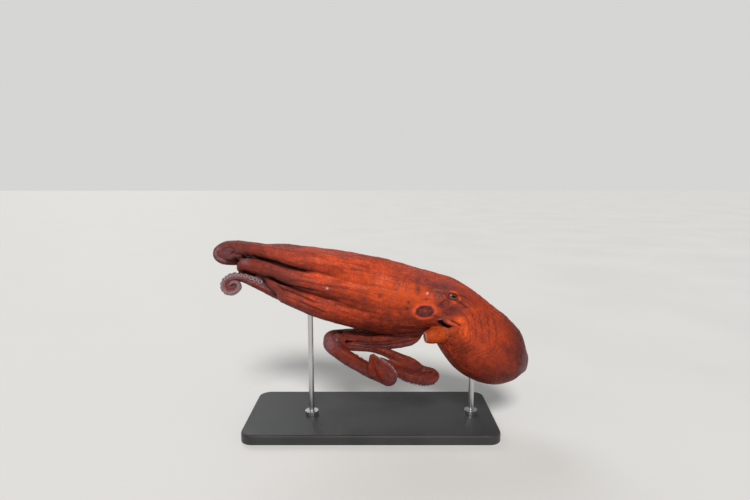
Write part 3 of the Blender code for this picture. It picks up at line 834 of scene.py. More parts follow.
@dataclass
class Eye:
    """One eye: its ball, and the lids that the skin forms over it."""

    side: Side
    half_width: float = 5.6 * MM
    half_height: float = 2.9 * MM
    lid: float = 1.0 * MM
    bow: float = 0.35 * MM  # how far the opening's middle stands above the ball's
    reach: float = 21 * MM  # the lids and their folds end here
    sink: float = 2.2 * MM  # how far the skin lies inside the ball in the opening
    look_way: Triple = (0.20, 0.93, 0.30)
    slit_way: Triple = (0.97, 0.0, -0.24)
    folds: Triples = (  # height in mm, then place and width in openings
        (0.7, 1.22, 0.20), (-0.7, 1.85, 0.22), (0.5, 2.35, 0.30), (-0.4, 2.9, 0.35),
    )
    pupil: Triple = (0.36, 0.12, 0.012)  # half sizes and depth, in ball radii

    def __post_init__(self) -> None:
        """Works out which way the eye looks, and the directions across it."""
        sign = -1 if self.side is Side.LEFT else 1
        self.centre = np.array(EYES[self.side.value]) * MM
        self.look = unit(np.array(self.look_way) * (1, sign, 1))
        along = np.array(self.slit_way)
        self.along = unit(along - self.look * (along @ self.look))
        self.rise = np.cross(self.along, self.look) * -sign
        self.rise = self.rise * (1 if self.rise[2] > 0 else -1)

    def local(self, points: Array) -> tuple[Array, Array, Array]:
        """Each point's distance along the slit, across it and outwards from the ball's centre."""
        away = points - self.centre
        return away @ self.along, away @ self.rise, away @ self.look

    def ring(self, points: Array) -> Array:
        """How far points are from the middle of the opening between the lids.

        Args:
            points: Rows of places.

        Returns:
            1 on the edge of the opening, less inside it and more outside.
        """
        a, b, out = self.local(points)
        ring = np.sqrt((a / self.half_width) ** 2 + ((b - self.bow) / self.half_height) ** 2)
        return np.where(out > 0, ring, 9.0)

    def cover(self, points: Array) -> Array:
        """Draws the skin over the ball as lids, and sinks it behind the ball in the opening.

        Args:
            points: The places of the skin's points.

        Returns:
            Their new places.
        """
        away = points - self.centre
        far = np.linalg.norm(away, axis=1)
        ring = self.ring(points)
        near = (far < self.reach) & (ring < 8)
        over = EYE_RADIUS + self.lid
        folds = sum(rise * MM * np.exp(-(((ring - at) / wide) ** 2)) for rise, at, wide in self.folds)
        rounding = np.logaddexp(0, (over - far) / MM) * MM - np.maximum(over - far, 0)
        lids = np.maximum(far, over) + rounding * 0.5
        share = 1 - ease(ring, 2.6, 4.2)
        outside = far + (lids - far) * share + folds
        inside = EYE_RADIUS - self.sink
        sunk = 1 - ease(ring, 0.86, 1.08)
        target = outside * (1 - sunk) + inside * sunk
        moved = self.centre + away / far[:, None] * target[:, None]
        return np.where(near[:, None], moved, points)

    def ball(self) -> bpy.types.Object:
        """Makes the eyeball, with its slit pupil pressed a little into the iris.

        Returns:
            The eyeball.
        """
        bm = bmesh.new()
        bmesh.ops.create_uvsphere(bm, u_segments=96, v_segments=64, radius=1.0)
        # Blender lists a sphere's faces in an order that changes from run to run.
        bm.verts.index_update()
        bm.faces.sort(key=numbered)
        data = bpy.data.meshes.new(f"eyeball_{self.side.value}")
        turn = np.stack([self.along, self.rise, self.look], axis=1)
        half_long, half_high, deep = self.pupil
        for vertex in bm.verts:
            x, y, z = vertex.co
            slit = math.exp(-((x / half_long) ** 4) - ((y / half_high) ** 4)) if z > 0 else 0.0
            reach = EYE_RADIUS * (1 - deep * slit)
            vertex.co = Vector(self.centre + turn @ np.array([x, y, z]) * reach)
        bmesh.ops.recalc_face_normals(bm, faces=bm.faces)
        bm.to_mesh(data)
        bm.free()
        data.shade_smooth()
        obj = shown(f"eyeball_{self.side.value}", data)
        points = points_of(data)
        a, b, _ = self.local(points)
        store(data, "eye_place", np.stack([a / MM, b / MM, np.zeros(len(a))], axis=1))
        data.materials.append(EyeFinish().material())
        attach(obj, "root")
        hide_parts(f"eye_{self.side.value}")
        return obj


def numbered(face: bmesh.types.BMFace, most: int = 8192) -> float:
    """A number that no other face of its mesh has.

    Args:
        face: The face, with four corners at the most.
        most: More corners than the mesh has.

    Returns:
        The number, made from the indices of its corners.
    """
    corners = sorted(corner.index for corner in face.verts)
    return float(sum(index * most**place for place, index in enumerate(corners)))


def points_of(data: bpy.types.Mesh) -> Array:
    """The places of a mesh's vertices.

    Args:
        data: The mesh.

    Returns:
        One place to a row.
    """
    flat = np.empty(len(data.vertices) * 3, np.float32)
    data.vertices.foreach_get("co", flat)
    return flat.reshape(-1, 3).astype(float)


def normals_of(data: bpy.types.Mesh) -> Array:
    """The normals of a mesh's vertices.

    Args:
        data: The mesh.

    Returns:
        One normal to a row.
    """
    flat = np.empty(len(data.vertices) * 3, np.float32)
    data.vertex_normals.foreach_get("vector", flat)
    return flat.reshape(-1, 3).astype(float)


def store(data: bpy.types.Mesh, name: str, values: Array) -> None:
    """Keeps a row of numbers with each vertex, for the finishes to read.

    Args:
        data: The mesh.
        name: The name that the numbers are kept under.
        values: Rows of three or four numbers, one row for each vertex.
    """
    kind, field_name = ("FLOAT_VECTOR", "vector") if values.shape[1] == 3 else ("FLOAT_COLOR", "color")
    kept = data.attributes.new(name, kind, "POINT")
    kept.data.foreach_set(field_name, values.astype(np.float32).ravel())


class Recipe:
    """Lays out the nodes of one finish and wires them together."""

    def __init__(self, name: str) -> None:
        """Starts a material with its shader.

        Args:
            name: The material's name.
        """
        self.material = bpy.data.materials.new(name)
        self.material.use_nodes = True
        self.tree = self.material.node_tree
        self.shader = self.tree.nodes["Principled BSDF"]

    def feed(self, socket: Socket, value: object) -> None:
        """Wires a value into a socket, or sets it there.

        Args:
            socket: The socket that takes the value.
            value: Another socket, a number, a vector or a colour.
        """
        if isinstance(value, Socket):
            self.tree.links.new(value, socket)
        elif isinstance(value, tuple) and len(value) == 3 and socket.type == "RGBA":
            socket.default_value = (*value, 1.0)
        else:
            socket.default_value = value

    def node(
        self, kind: str, inputs: dict[int | str, object], out: int | str = 0, **settings: object
    ) -> Socket:
        """Adds a node.

        Args:
            kind: Its type, without the words ShaderNode.
            inputs: The values of its inputs, by number or name.
            out: The output that is wanted.
            **settings: Its own settings.

        Returns:
            The output.
        """
        made = self.tree.nodes.new("ShaderNode" + kind)
        for name, value in settings.items():
            setattr(made, name, value)
        for key, value in inputs.items():
            self.feed(made.inputs[key], value)
        return made.outputs[out]

    def finish(self, **values: object) -> None:
        """Sets or wires the shader's sockets, named with underscores for spaces."""
        for name, value in values.items():
            self.feed(self.shader.inputs[name.replace("_", " ")], value)

    def place(self) -> Socket:
        """The place on the object, in metres."""
        return self.node("TexCoord", {}, "Object")

    def kept(self, name: str) -> tuple[Socket, ...]:
        """The numbers kept with each vertex.

        Args:
            name: The name that they are kept under.

        Returns:
            The numbers as a vector, then one by one.
        """
        node = self.tree.nodes.new("ShaderNodeAttribute")
        node.attribute_name = name
        split = self.tree.nodes.new("ShaderNodeSeparateColor")
        self.tree.links.new(node.outputs["Color"], split.inputs[0])
        return (node.outputs["Vector"], *split.outputs[:3], node.outputs["Alpha"])

    def stretch(self, vector: Socket, scale: Triple) -> Socket:
        """The vector with each part multiplied."""
        return self.node("VectorMath", {0: vector, 1: scale}, operation="MULTIPLY")

    def shift(self, vector: Socket, by: Socket) -> Socket:
        """The sum of two vectors."""
        return self.node("VectorMath", {0: vector, 1: by}, operation="ADD")

    def noise(self, vector: Socket, scale: float, detail: float, rough: float, warp: float = 0) -> Socket:
        """Cloudy noise from 0 to 1: its cells to a unit, its finer layers, their strength and its warp."""
        given = {"Vector": vector, "Scale": scale, "Detail": detail, "Roughness": rough, "Distortion": warp}
        return self.node("TexNoise", given)

    def noise_ways(self, vector: Socket, scale: float) -> Socket:
        """Noise in three directions, each about a middle of 0.5."""
        return self.node("TexNoise", {"Vector": vector, "Scale": scale}, "Color")

    def cells(self, vector: Socket, scale: float) -> Socket:
        """The distance to the edge of a cell, in a net with that many cells to a unit."""
        given = {"Vector": vector, "Scale": scale}
        return self.node("TexVoronoi", given, "Distance", feature="DISTANCE_TO_EDGE")

    def span(self, value: Socket, low: float, high: float, start: float = 0, end: float = 1) -> Socket:
        """Maps low to start and high to end, smoothly, and holds beyond them."""
        given = {0: value, 1: low, 2: high, 3: start, 4: end}
        return self.node("MapRange", given, interpolation_type="SMOOTHSTEP")

    def maths(self, operation: str, first: object, second: object = 0.0) -> Socket:
        """One step of arithmetic."""
        return self.node("Math", {0: first, 1: second}, operation=operation)

    def patchy(self, share: Socket, cloud: Socket, *spans: float) -> Socket:
        """A share multiplied by a noise that is mapped as span maps it."""
        return self.maths("MULTIPLY", share, self.span(cloud, *spans))

    def power(self, value: Socket, width: float, sharp: float) -> Socket:
        """The size of the value over a width, raised to a power: 1 at the width."""
        return self.maths("POWER", self.maths("ABSOLUTE", self.maths("DIVIDE", value, width)), sharp)

    def blend(self, share: object, first: object, second: object) -> Socket:
        """Two colours mixed: the share is the second one's."""
        return self.node("Mix", {0: share, 6: first, 7: second}, 2, data_type="RGBA")

    def bump(self, height: Socket, reach: float, strength: float) -> Socket:
        """The normal of a surface that stands out by the height times reach, felt at that strength."""
        return self.node("Bump", {"Strength": strength, "Distance": reach, "Height": height})


@dataclass(frozen=True)
class SkinFinish:
    """The moist red-brown skin, with streaks, veins, dusky blotches and bloom, and painted shade and light.
    """

    deep: Triple = (0.150, 0.015, 0.006)
    red: Triple = (0.365, 0.036, 0.007)
    bright: Triple = (0.680, 0.074, 0.012)
    # The colour of the painted shade below and at the far ends of the arms, also of the fourth arms.
    low: Triple = (0.082, 0.009, 0.004)
    dusk_and_shade: Triple = (0.120, 0.026, 0.024)
    # The dim colour round the eyes, also of the painted shade on the crown, the mantle's tip and the far
    # ends.
    dim: Triple = (0.130, 0.030, 0.024)
    # The pale lavender of the bloom, which paints a sheen on edges, tops and far ends.
    bloom_and_sheen: Triple = (0.250, 0.140, 0.165)
    orange: Triple = (0.760, 0.105, 0.014)
    mantle: Triple = (0.330, 0.036, 0.007)
    oral: Triple = (0.230, 0.110, 0.105)
    # The near black of the painted shade in creases and grooves, also of the dark lines by the eyes.
    dark: Triple = (0.022, 0.002, 0.001)
    # The pale of specks and lips, also a painted highlight on the funnel's mouth.
    pale: Triple = (0.780, 0.520, 0.470)
    # The painted shade inside the gape and the funnel's bore.
    hollow_shade: Triple = (0.045, 0.008, 0.006)
    ring: Triple = (0.72, 0.085, 0.030)
    core: Triple = (0.30, 0.050, 0.022)
    spot: Triples = ((0.062, 0.010, 0.012), (0.115, 0.026, 0.026))
    funnel: Triples = ((0.30, 0.035, 0.003), (0.430, 0.055, 0.003))
    sheen: Triple = (0.75, 0.62, 0.72)
    glow: Triple = (1.0, 0.25, 0.12)  # how far each colour of light goes into the flesh

    def material(self) -> bpy.types.Material:
        """The finish as a material, which reads what the skin keeps with its vertices.

        Returns:
            The material.
        """
        r = Recipe("skin")
        place = r.place()
        flow = r.kept("flow")[0]
        # The zones: the mantle, painted shade below, dusky blotches that also paint shade, and bloom partly
        # painted as sheen.
        _, mantle, lower, dusk_and_shade, bloom_and_sheen = r.kept("zones")
        # The spots: funnel, ring, dark spots with wide painted shade, and orange patches with painted light.
        _, funnel, ring, heart, patch = r.kept("spots")
        # The lines: painted shade in creases with dark lines, painted shade in hollows, the suckered sides,
        # and pale marks with a painted highlight.
        _, crease, inside, oral, pale = r.kept("lines")
        # The tones: dim skin with painted shade, streaks and the false eye's core.
        _, grey, lined, core, _ = r.kept("tones")
        # Broad noises vary the shade, small ones break up the edges of the zones and spots.
        broad = r.noise(place, 24, 4, 0.55)
        mid = r.noise(place, 85, 5, 0.6, 0.4)
        small = r.noise(place, 190, 4, 0.6, 0.6)
        blotch = r.noise(place, 62, 5, 0.62, 0.9)
        # Streaks have few cells along the flesh and many across it.
        streak = r.noise(r.stretch(flow, (26, 420, 420)), 1.0, 5, 0.62)
        wide_streak = r.noise(r.stretch(flow, (9, 110, 110)), 1.0, 3, 0.5)
        net = r.cells(r.shift(place, r.stretch(r.noise_ways(place, 120), (0.004, 0.004, 0.004))), 230)
        spotted = r.blend(r.span(small, 0.4, 0.62), *self.spot)
        nozzle = r.blend(r.span(small, 0.35, 0.6), *self.funnel)
        colour = r.blend(r.span(r.maths("ADD", broad, mid), 0.80, 1.25), self.red, self.bright)
        # Each colour is laid over those before it.
        for share, over in (
            # Dim skin round the eyes, and painted shade on the crown, the mantle's tip and the far ends of
            # the arms.
            (r.patchy(grey, broad, 0.3, 0.6, 1.0, 0.7), self.dim),
            (r.patchy(lined, streak, 0.50, 0.36, 0.0, 0.62), self.deep),
            (r.span(wide_streak, 0.52, 0.36, 0.0, 0.42), self.deep),
            (r.patchy(lined, streak, 0.60, 0.74, 0.0, 0.34), self.orange),
            # Dusky blotches, which also paint shade at the far end of the arms and at the mantle's tip.
            (r.patchy(dusk_and_shade, blotch, 0.50, 0.60), self.dusk_and_shade),
            (r.patchy(dusk_and_shade, small, 0.54, 0.62, 0.0, 0.7), self.dusk_and_shade),
            (r.span(net, 0.12, 0.02, 0.0, 0.34), self.deep),
            (r.patchy(mantle, mid, 0.35, 0.65, 0.1, 0.5), self.mantle),
            # Painted shade on the lower side, at the far ends of the arms and at the marks, and the darker
            # fourth arms.
            (r.patchy(lower, mid, 0.3, 0.7, 0.97, 0.70), self.low),
            # Orange patches on the cheek and round the eyes, with painted light on the near side of the head
            # and web.
            (r.patchy(patch, small, 0.3, 0.55, 0.6, 1.0), self.orange),
            (r.patchy(ring, small, 0.3, 0.55, 0.7, 1.0), self.ring),
            # Dark spots and false eye spots, with wide painted shade at the mantle's tip and on the lower
            # web.
            (heart, spotted),
            (core, self.core),
            (funnel, nozzle),
            # Pale bloom, painted as a sheen on edges, tops and the far ends of the arms.
            (r.patchy(bloom_and_sheen, small, 0.34, 0.60, 0.35, 1.0), self.bloom_and_sheen),
            (oral, self.oral),
            # Painted shade in creases and grooves, and the dark lines by the eyes, lids and wrinkles.
            (crease, self.dark),
            # Pale specks and lips, and a painted highlight on the funnel's mouth.
            (pale, self.pale),
            # Painted shade inside the gape and the funnel's bore.
            (inside, self.hollow_shade),
        ):
            colour = r.blend(share, colour, over)
        # The relief is too fine for the mesh: grit, pores, the net of veins and the streaks.
        grit = r.noise(place, 900, 3, 0.6)
        pores = r.cells(place, 620)
        height = r.maths("MULTIPLY", grit, 0.35)
        for layer, weight in ((r.span(pores, 0.0, 0.25), 0.4), (r.span(net, 0.0, 0.16), 0.5), (streak, 0.9)):
            height = r.maths("ADD", height, r.maths("MULTIPLY", layer, weight))
        r.finish(
            Base_Color=colour,
            Roughness=r.maths("ADD", r.span(mid, 0.3, 0.7, 0.36, 0.50), r.maths("MULTIPLY", grit, 0.08)),
            Specular_IOR_Level=0.16,
            Subsurface_Weight=0.05,
            Subsurface_Scale=0.003,
            Subsurface_Radius=self.glow,
            Sheen_Weight=0.02,
            Sheen_Roughness=0.45,
            Sheen_Tint=self.sheen,
            Coat_Weight=0.04,
            Coat_Roughness=0.25,
            Normal=r.bump(height, 0.0008, 0.7),
        )
        return r.material


@dataclass(frozen=True)
class EyeFinish:
    """A wet eye with a rust and gold iris, a dark level slit and a pale rim below it."""

    iris: Triple = (0.075, 0.013, 0.006)
    gold: Triple = (0.170, 0.038, 0.010)
    pupil: Triple = (0.004, 0.002, 0.002)
    rim: Triple = (0.105, 0.080, 0.088)

    def material(self) -> bpy.types.Material:
        """The finish as a material, which reads the places that the ball keeps with its vertices.

        Returns:
            The material.
        """
        r = Recipe("eye")
        _, a, b, _, _ = r.kept("eye_place")
        slit = r.maths("ADD", r.power(a, 3.8, 3.0), r.power(r.maths("SUBTRACT", b, 0.25), 1.55, 2.2))
        lower = r.maths("ADD", r.power(a, 4.4, 2.6), r.power(r.maths("ADD", b, 0.45), 1.9, 2.2))
        fleck = r.noise(r.stretch(r.place(), (900, 900, 900)), 1.0, 4, 0.6)
        colour = r.blend(r.span(fleck, 0.42, 0.66), self.iris, self.gold)
        under = r.maths("MULTIPLY", r.span(lower, 1.25, 0.9), r.span(b, -0.3, -0.9))
        colour = r.blend(under, colour, self.rim)
        colour = r.blend(r.span(slit, 1.12, 0.88), colour, self.pupil)
        r.finish(
            Base_Color=colour,
            Roughness=r.span(fleck, 0.3, 0.7, 0.22, 0.30),
            Specular_IOR_Level=0.2,
            Coat_Weight=0.05,
            Coat_Roughness=0.1,
            Normal=r.bump(fleck, 0.0002, 0.4),
        )
        return r.material


@dataclass(frozen=True)
class SuckerFinish:
    """The pale lavender of a sucker's rim, pinker and darker in its cup."""

    rim: Triple = (0.300, 0.225, 0.250)
    cup: Triple = (0.085, 0.036, 0.040)
    blush: Triple = (0.30, 0.07, 0.05)

    def material(self) -> bpy.types.Material:
        """The finish as a material, which reads how near to the rim each vertex is.

        Returns:
            The material.
        """
        r = Recipe("sucker")
        rim = r.kept("cup_place")[1]
        place = r.place()
        cloud = r.noise(place, 260, 4, 0.6)
        colour = r.blend(r.span(rim, 0.25, 0.85), self.cup, self.rim)
        colour = r.blend(r.span(cloud, 0.5, 0.75, 0.0, 0.45), colour, self.blush)
        r.finish(
            Base_Color=colour,
            Roughness=r.span(cloud, 0.3, 0.7, 0.36, 0.48),
            Specular_IOR_Level=0.35,
            Subsurface_Weight=0.10,
            Subsurface_Scale=0.002,
            Coat_Weight=0.12,
            Coat_Roughness=0.2,
            Normal=r.bump(r.noise(place, 1500, 2, 0.5), 0.0003, 0.6),
        )
        return r.material


class StandFinish(Enum):
    """What the stand's pieces are made of."""

    BASE = "satin black board"
    METAL = "brushed steel"

    @property
    def colours(self) -> Triples:
        """The two colours that the finish runs between."""
        if self is StandFinish.BASE:
            return (0.020, 0.020, 0.021), (0.032, 0.032, 0.034)
        return (0.50, 0.50, 0.51), (0.66, 0.66, 0.66)

    def material(self) -> bpy.types.Material:
        """The finish as a material.

        Returns:
            The material.
        """
        r = Recipe(self.value.replace(" ", "_"))
        place = r.place()
        if self is StandFinish.BASE:
            grain = r.noise(place, 1600, 3, 0.6)
            cloud = r.noise(place, 14, 4, 0.5)
            r.finish(
                Base_Color=r.blend(r.span(cloud, 0.3, 0.7), *self.colours),
                Roughness=r.span(cloud, 0.3, 0.7, 0.36, 0.48),
                Specular_IOR_Level=0.4,
                Normal=r.bump(grain, 0.0002, 0.6),
            )
            return r.material
        streak = r.noise(r.stretch(place, (2600, 2600, 14)), 1.0, 4, 0.6)
        cloud = r.noise(place, 30, 3, 0.5)
        r.finish(
            Base_Color=r.blend(r.span(streak, 0.3, 0.7), *self.colours),
            Metallic=1.0,
            Roughness=r.maths("ADD", r.span(cloud, 0.3, 0.7, 0.20, 0.30), r.span(streak, 0.3, 0.7, 0.0, 0.1)),
            Normal=r.bump(streak, 0.00015, 0.5),
        )
        return r.material


# The grooves between the bundled arms and along the web, on both sides.
LEFT_GROOVES = (
    Furrow(2.4, 1.9, (
        (-181, 0, 254), (-149, -15, 251), (-132, -20, 246), (-109, -23, 241), (-93, -26, 238),
        (-76, -28, 236),
    )),
    Furrow(1.9, 1.8, (
        (-175, -18, 240), (-151, -12, 227), (-125, -15, 217), (-109, -26, 216), (-85, -32, 212),
        (-61, -37, 208),
    )),
    Furrow(1.6, 1.7, (
        (-142, -17, 217), (-120, -25, 210), (-106, -27, 205), (-86, -30, 196), (-70, -33, 191),
    )),
    Furrow(1.2, 1.7, ((-106, -30, 196), (-93, -31, 190), (-79, -33, 184), (-59, -34, 177))),
    Furrow(0.6, 1.6, ((-120, -22, 227), (-96, -31, 224), (-66, -37, 219), (-38, -41, 214))),
    Furrow(0.6, 2.0, ((-70, -36, 199), (-45, -40, 191), (-15, -42, 183), (12, -42, 178))),
)
# The grooves of the fourth arms and of the folded end, on the left side only.
LOWER_GROOVES = (
    Furrow(1.0, 1.8, (
        (-39, -5, 140), (-17, -6, 139), (6, -7, 138), (28, -11, 141), (50, -24, 146), (69, -27, 150),
    )),
    Furrow(0.7, 1.4, ((-32, -6, 128), (-2, -11, 126), (28, -16, 131), (58, -16, 137), (76, -10, 139))),
    Furrow(0.7, 1.4, ((-17, -7, 122), (21, -14, 124), (43, -16, 128), (70, -12, 134))),
    Furrow(0.6, 1.3, ((-39, -9, 123), (-17, -9, 120), (6, -10, 116), (25, -12, 107), (40, -15, 98))),
    Furrow(0.7, 1.6, (
        (-216, -13, 267), (-210, -14, 270), (-202, -14, 271), (-198, -14, 267), (-202, -11, 261),
        (-210, -9, 259),
    )),
)
# The deeper wrinkles where the mantle bends over the head, on both sides.
MANTLE_WRINKLES = (
    Furrow(0.35, 1.2, (
        (135, -43, 178), (138, -46, 169), (139, -49, 159), (140, -51, 150), (140, -52, 141),
    )),
    Furrow(0.4, 1.2, ((143, -39, 183), (146, -43, 174), (148, -48, 163), (148, -51, 153), (147, -54, 140))),
    Furrow(0.4, 1.3, ((152, -35, 185), (155, -41, 174), (157, -47, 163), (157, -52, 151), (157, -55, 139))),
    Furrow(0.4, 1.3, ((162, -30, 183), (166, -38, 172), (168, -46, 161), (167, -52, 148), (166, -55, 136))),
    Furrow(0.4, 1.3, ((172, -28, 178), (176, -38, 168), (178, -46, 155), (177, -52, 143))),
)
DARK_SPOTS = (  # x, z, half length and half height in mm, and how dark
    (24, 244, 4.5, 4.0, 0.55), (52, 232, 3.4, 3.2, 0.55), (69, 229, 5.0, 5.5, 0.6),
    (60, 245, 7.0, 2.4, 0.4), (13, 206, 5.6, 3.8, 0.65), (22, 198, 8.0, 2.2, 0.45),
    (-10, 201, 4.4, 2.8, 0.5), (53, 196, 2.6, 3.2, 0.7), (51, 187, 5.0, 2.6, 0.6),
    (40, 181, 4.0, 3.0, 0.45), (79, 200, 6.5, 1.3, 0.75), (67, 212, 4.0, 5.0, 0.5),
    (92, 218, 7.0, 5.0, 0.75), (84, 226, 5.0, 2.0, 0.5), (95, 205, 5.0, 4.5, 0.75),
    (99, 192, 5.5, 4.5, 0.85), (116, 187, 7.0, 3.0, 0.8), (135, 188, 7.0, 1.5, 0.75),
    (92, 176, 7.0, 3.0, 0.55), (24, 172, 9.0, 2.6, 0.4), (108, 179, 7.0, 4.0, 0.6),
    (107, 216, 6.0, 3.5, 0.6), (127, 198, 5.0, 4.0, 0.55), (102, 171, 7.0, 2.6, 0.55),
    (-14, 247, 4.0, 3.0, 0.45), (36, 214, 4.0, 2.6, 0.35), (4, 222, 4.5, 2.0, 0.35),
    (-34, 216, 5.0, 1.8, 0.35),
)
# The raised edges and the folds of the gape and the funnel, on both sides.
LIPS = (
    Furrow(-1.1, 1.7, (
        (94, -38, 168), (98, -38, 171), (105, -39, 170), (111, -41, 166.5), (118, -43, 162.5),
    )),
    Furrow(-1.3, 1.7, (
        (104, -34, 158), (107, -39, 156), (109, -42, 152), (110, -43, 147), (110, -42, 141),
    )),
    Furrow(-1.0, 2.2, ((102, -26, 128), (108, -32, 127), (113, -36, 124), (116, -36, 118))),
    Furrow(1.7, 1.5, ((113, -41, 169.5), (118, -43, 167.5), (123, -45, 165), (128, -47, 162))),
    Furrow(1.0, 1.8, ((113, -42, 161), (121, -45, 159), (128, -47, 154), (130, -48, 147), (127, -47, 141))),
)
# Where the skin swells, with the height in mm.
SWELLINGS = (
    Mark((171, -6, 182), (16, 40, 12), 1.6),
    Mark((196, -8, 166), (12, 40, 12), 0.8),
    Mark((215, -10, 140), (14, 40, 20), 2.6),
    Mark((-88, -34, 205), (16, 14, 10), 1.2),
    Mark((126, -44, 171), (9, 6, 5), 1.6),
    Mark((96, -41, 196), (10, 8, 9), 0.9),
    Mark((116, -36, 184), (22, 9, 7), 1.2),
)
# Where painted shade darkens the skin: in the coil, between the lower arms, at the mantle's tip and under the
# funnel.
LOWER_SHADE_MARKS = (
    Mark((-201, -22, 214), (11, 7, 9), 0.9, power=4.0, paired=False),
    Mark((-48, -8, 136), (14, 18, 13), power=4.0, paired=False),
    Mark((5, -32, 94), (18, 16, 30), 0.92, power=4.0, paired=False),
    Mark((221, -30, 128), (34, 60, 58), power=3.0),
    Mark((130, -45, 130), (24, 16, 15), 0.7, power=3.0),
)
# Where dusky blotches are dense. At the far end of the arms and at the mantle's tip and underside they also
# paint shade.
DUSK_AND_SHADE_MARKS = (
    Mark((-215, -5, 260), (50, 60, 40)),
    Mark((116, -40, 204), (26, 16, 18)),
    Mark((60, -30, 222), (30, 20, 12)),
    Mark((212, -20, 110), (20, 40, 34)),
    Mark((190, -40, 90), (30, 30, 18)),
)
# Where the skin has a pale lavender bloom, painted as a sheen along its edges and tops.
BLOOM_AND_SHEEN_MARKS = (
    Mark((228, -16, 98), (10, 30, 22), 0.6),
    Mark((205, -30, 62), (22, 30, 12), 0.6),
    Mark((-184, -12, 250), (9, 10, 5), 0.6),
    Mark((-62, -12, 126), (13, 14, 14), 0.6),
    Mark((-207, -8, 262), (24, 30, 15), 0.32, power=3.0),
    Mark((-204, -20, 215), (16, 14, 16), 0.32, power=4.0),
    Mark((-180, -12, 220), (22, 12, 9), 0.32, paired=False),
    Mark((90, -22, 231), (78, 36, 12), 0.14, tilt=20, power=3.0),
    Mark((-20, -20, 264), (110, 34, 10), 0.14, tilt=8, power=3.0),
)
# The wide painted shade at the mantle's tip and on the lower web.
SHADE_MARKS = (
    Mark((223, -20, 112), (20, 50, 54), 0.55, power=3.0),
    Mark((66, -20, 82), (36, 18, 18), 0.35, power=4.0),
)
# Where the skin is a clear orange on the cheek, and where painted light, less strong, turns the near side of
# the head and web orange.
ORANGE_MARKS = (Mark((127, -46, 170), (8, 9, 5)), Mark((134, -48, 158), (6, 9, 12), 0.6))
PAINTED_GLOW_MARKS = (Mark((48, -42, 207), (62, 30, 17), 0.45, tilt=14),)
# Where the skin is dim: round the eye and on the neck, with painted shade at the mantle's tip, then painted
# shade on the top of the crown.
DIM_MARKS = (
    Mark((104, -36, 212), (22, 22, 12), 0.76, power=3.0),
    Mark((124, -40, 200), (16, 20, 12), 0.76, power=3.0),
    Mark((112, -40, 182), (20, 18, 8), 0.76, power=3.0),
    Mark((100, -38, 172), (16, 14, 5), 0.76),
    Mark((101, -38, 196), (12, 16, 13), 0.76, power=3.0),
    Mark((121, -42, 184), (15, 16, 10), 0.76, power=3.0),
    # Painted shade at the mantle's tip.
    Mark((222, -16, 118), (14, 40, 40), 0.76, power=3.0),
    Mark((196, -20, 166), (26, 34, 10), 0.76),
)
CROWN_SHADE_MARKS = (Mark((64, -25, 238), (52, 34, 11), 0.45, power=3.0),)
# Where the skin has no streaks, the shadow behind the funnel, and the flesh over the funnel's root.
PLAIN_MARKS = (Mark((92, -36, 200), (46, 40, 40), 0.75, power=4.0),)
SHADOW_MARKS = (Mark((117, -43, 150), (9, 9, 9), 0.2, power=4.0),)
BULGE_MARKS = (Mark((117, -43, 152), (9, 9, 7.5), 0.9, power=4.0, paired=False),)
# The small white specks.
SPECKS = tuple(Mark(place, (1.4, 4, 1.4)) for place in ((80.5, -38, 208), (71, -30, 232), (-62, -36, 215)))
# The pale rim of the folded ends of the arms.
END_RIM = Furrow(0, 3.0, (
    (-216, -8, 271), (-225, -8, 263), (-223, -9, 254), (-212, -10, 249), (-198, -10, 250),
))


@dataclass
class FalseEye:
    """The false eye spot on the web: a dark spot with a redder core, in a bright ring."""

    centre: Pair = (76.5, 182.5)  # x and z, in mm
    radii: Pair = (13.0, 8.8)
    from_middle: float = 10 * MM  # how far from the middle it starts
    ragged: float = 0.12
    edge: Pair = (0.86, 1.04)  # where the spot ends, in its own radii
    middle: Triple = (0.35, 0.75, 0.72)  # where its middle is less dark, and how dark it is there
    heart: Pair = (0.20, 0.75)  # the width and strength of its core
    halo: Triple = (1.16, 0.12, 0.26)  # where the ring is brightest, and its widths inside and outside

    def tones(self, points: Array, spread: Array) -> tuple[Array, Array, Array]:
        """How dark, how red and how bright it makes the skin.

        Args:
            points: Rows of places on the skin.
            spread: A cloudy noise at each of them, which makes the edge ragged.

        Returns:
            The shares of the spot, of its core and of its ring at each point.
        """
        spot, core, ring = np.zeros((3, len(points)))
        x, z = self.centre
        start, end, least = self.middle
        bright, inner, outer = self.halo
        away = np.hypot((points[:, 0] / MM - x) / self.radii[0], (points[:, 2] / MM - z) / self.radii[1])
        for sign in (-1, 1):
            here = np.where(points[:, 1] * sign > self.from_middle, away + self.ragged * spread, 9)
            depth = least + (1 - least) * ease(here, start, end)
            spot = np.maximum(spot, (1 - ease(here, *self.edge)) * depth)
            core = np.maximum(core, self.heart[1] * np.exp(-((here / self.heart[0]) ** 2)))
            halo = np.exp(-(((here - bright) / np.where(here > bright, outer, inner)) ** 2))
            ring = np.maximum(ring, halo * np.clip(0.85 + 0.5 * spread, 0, 1))
        return spot, core, ring


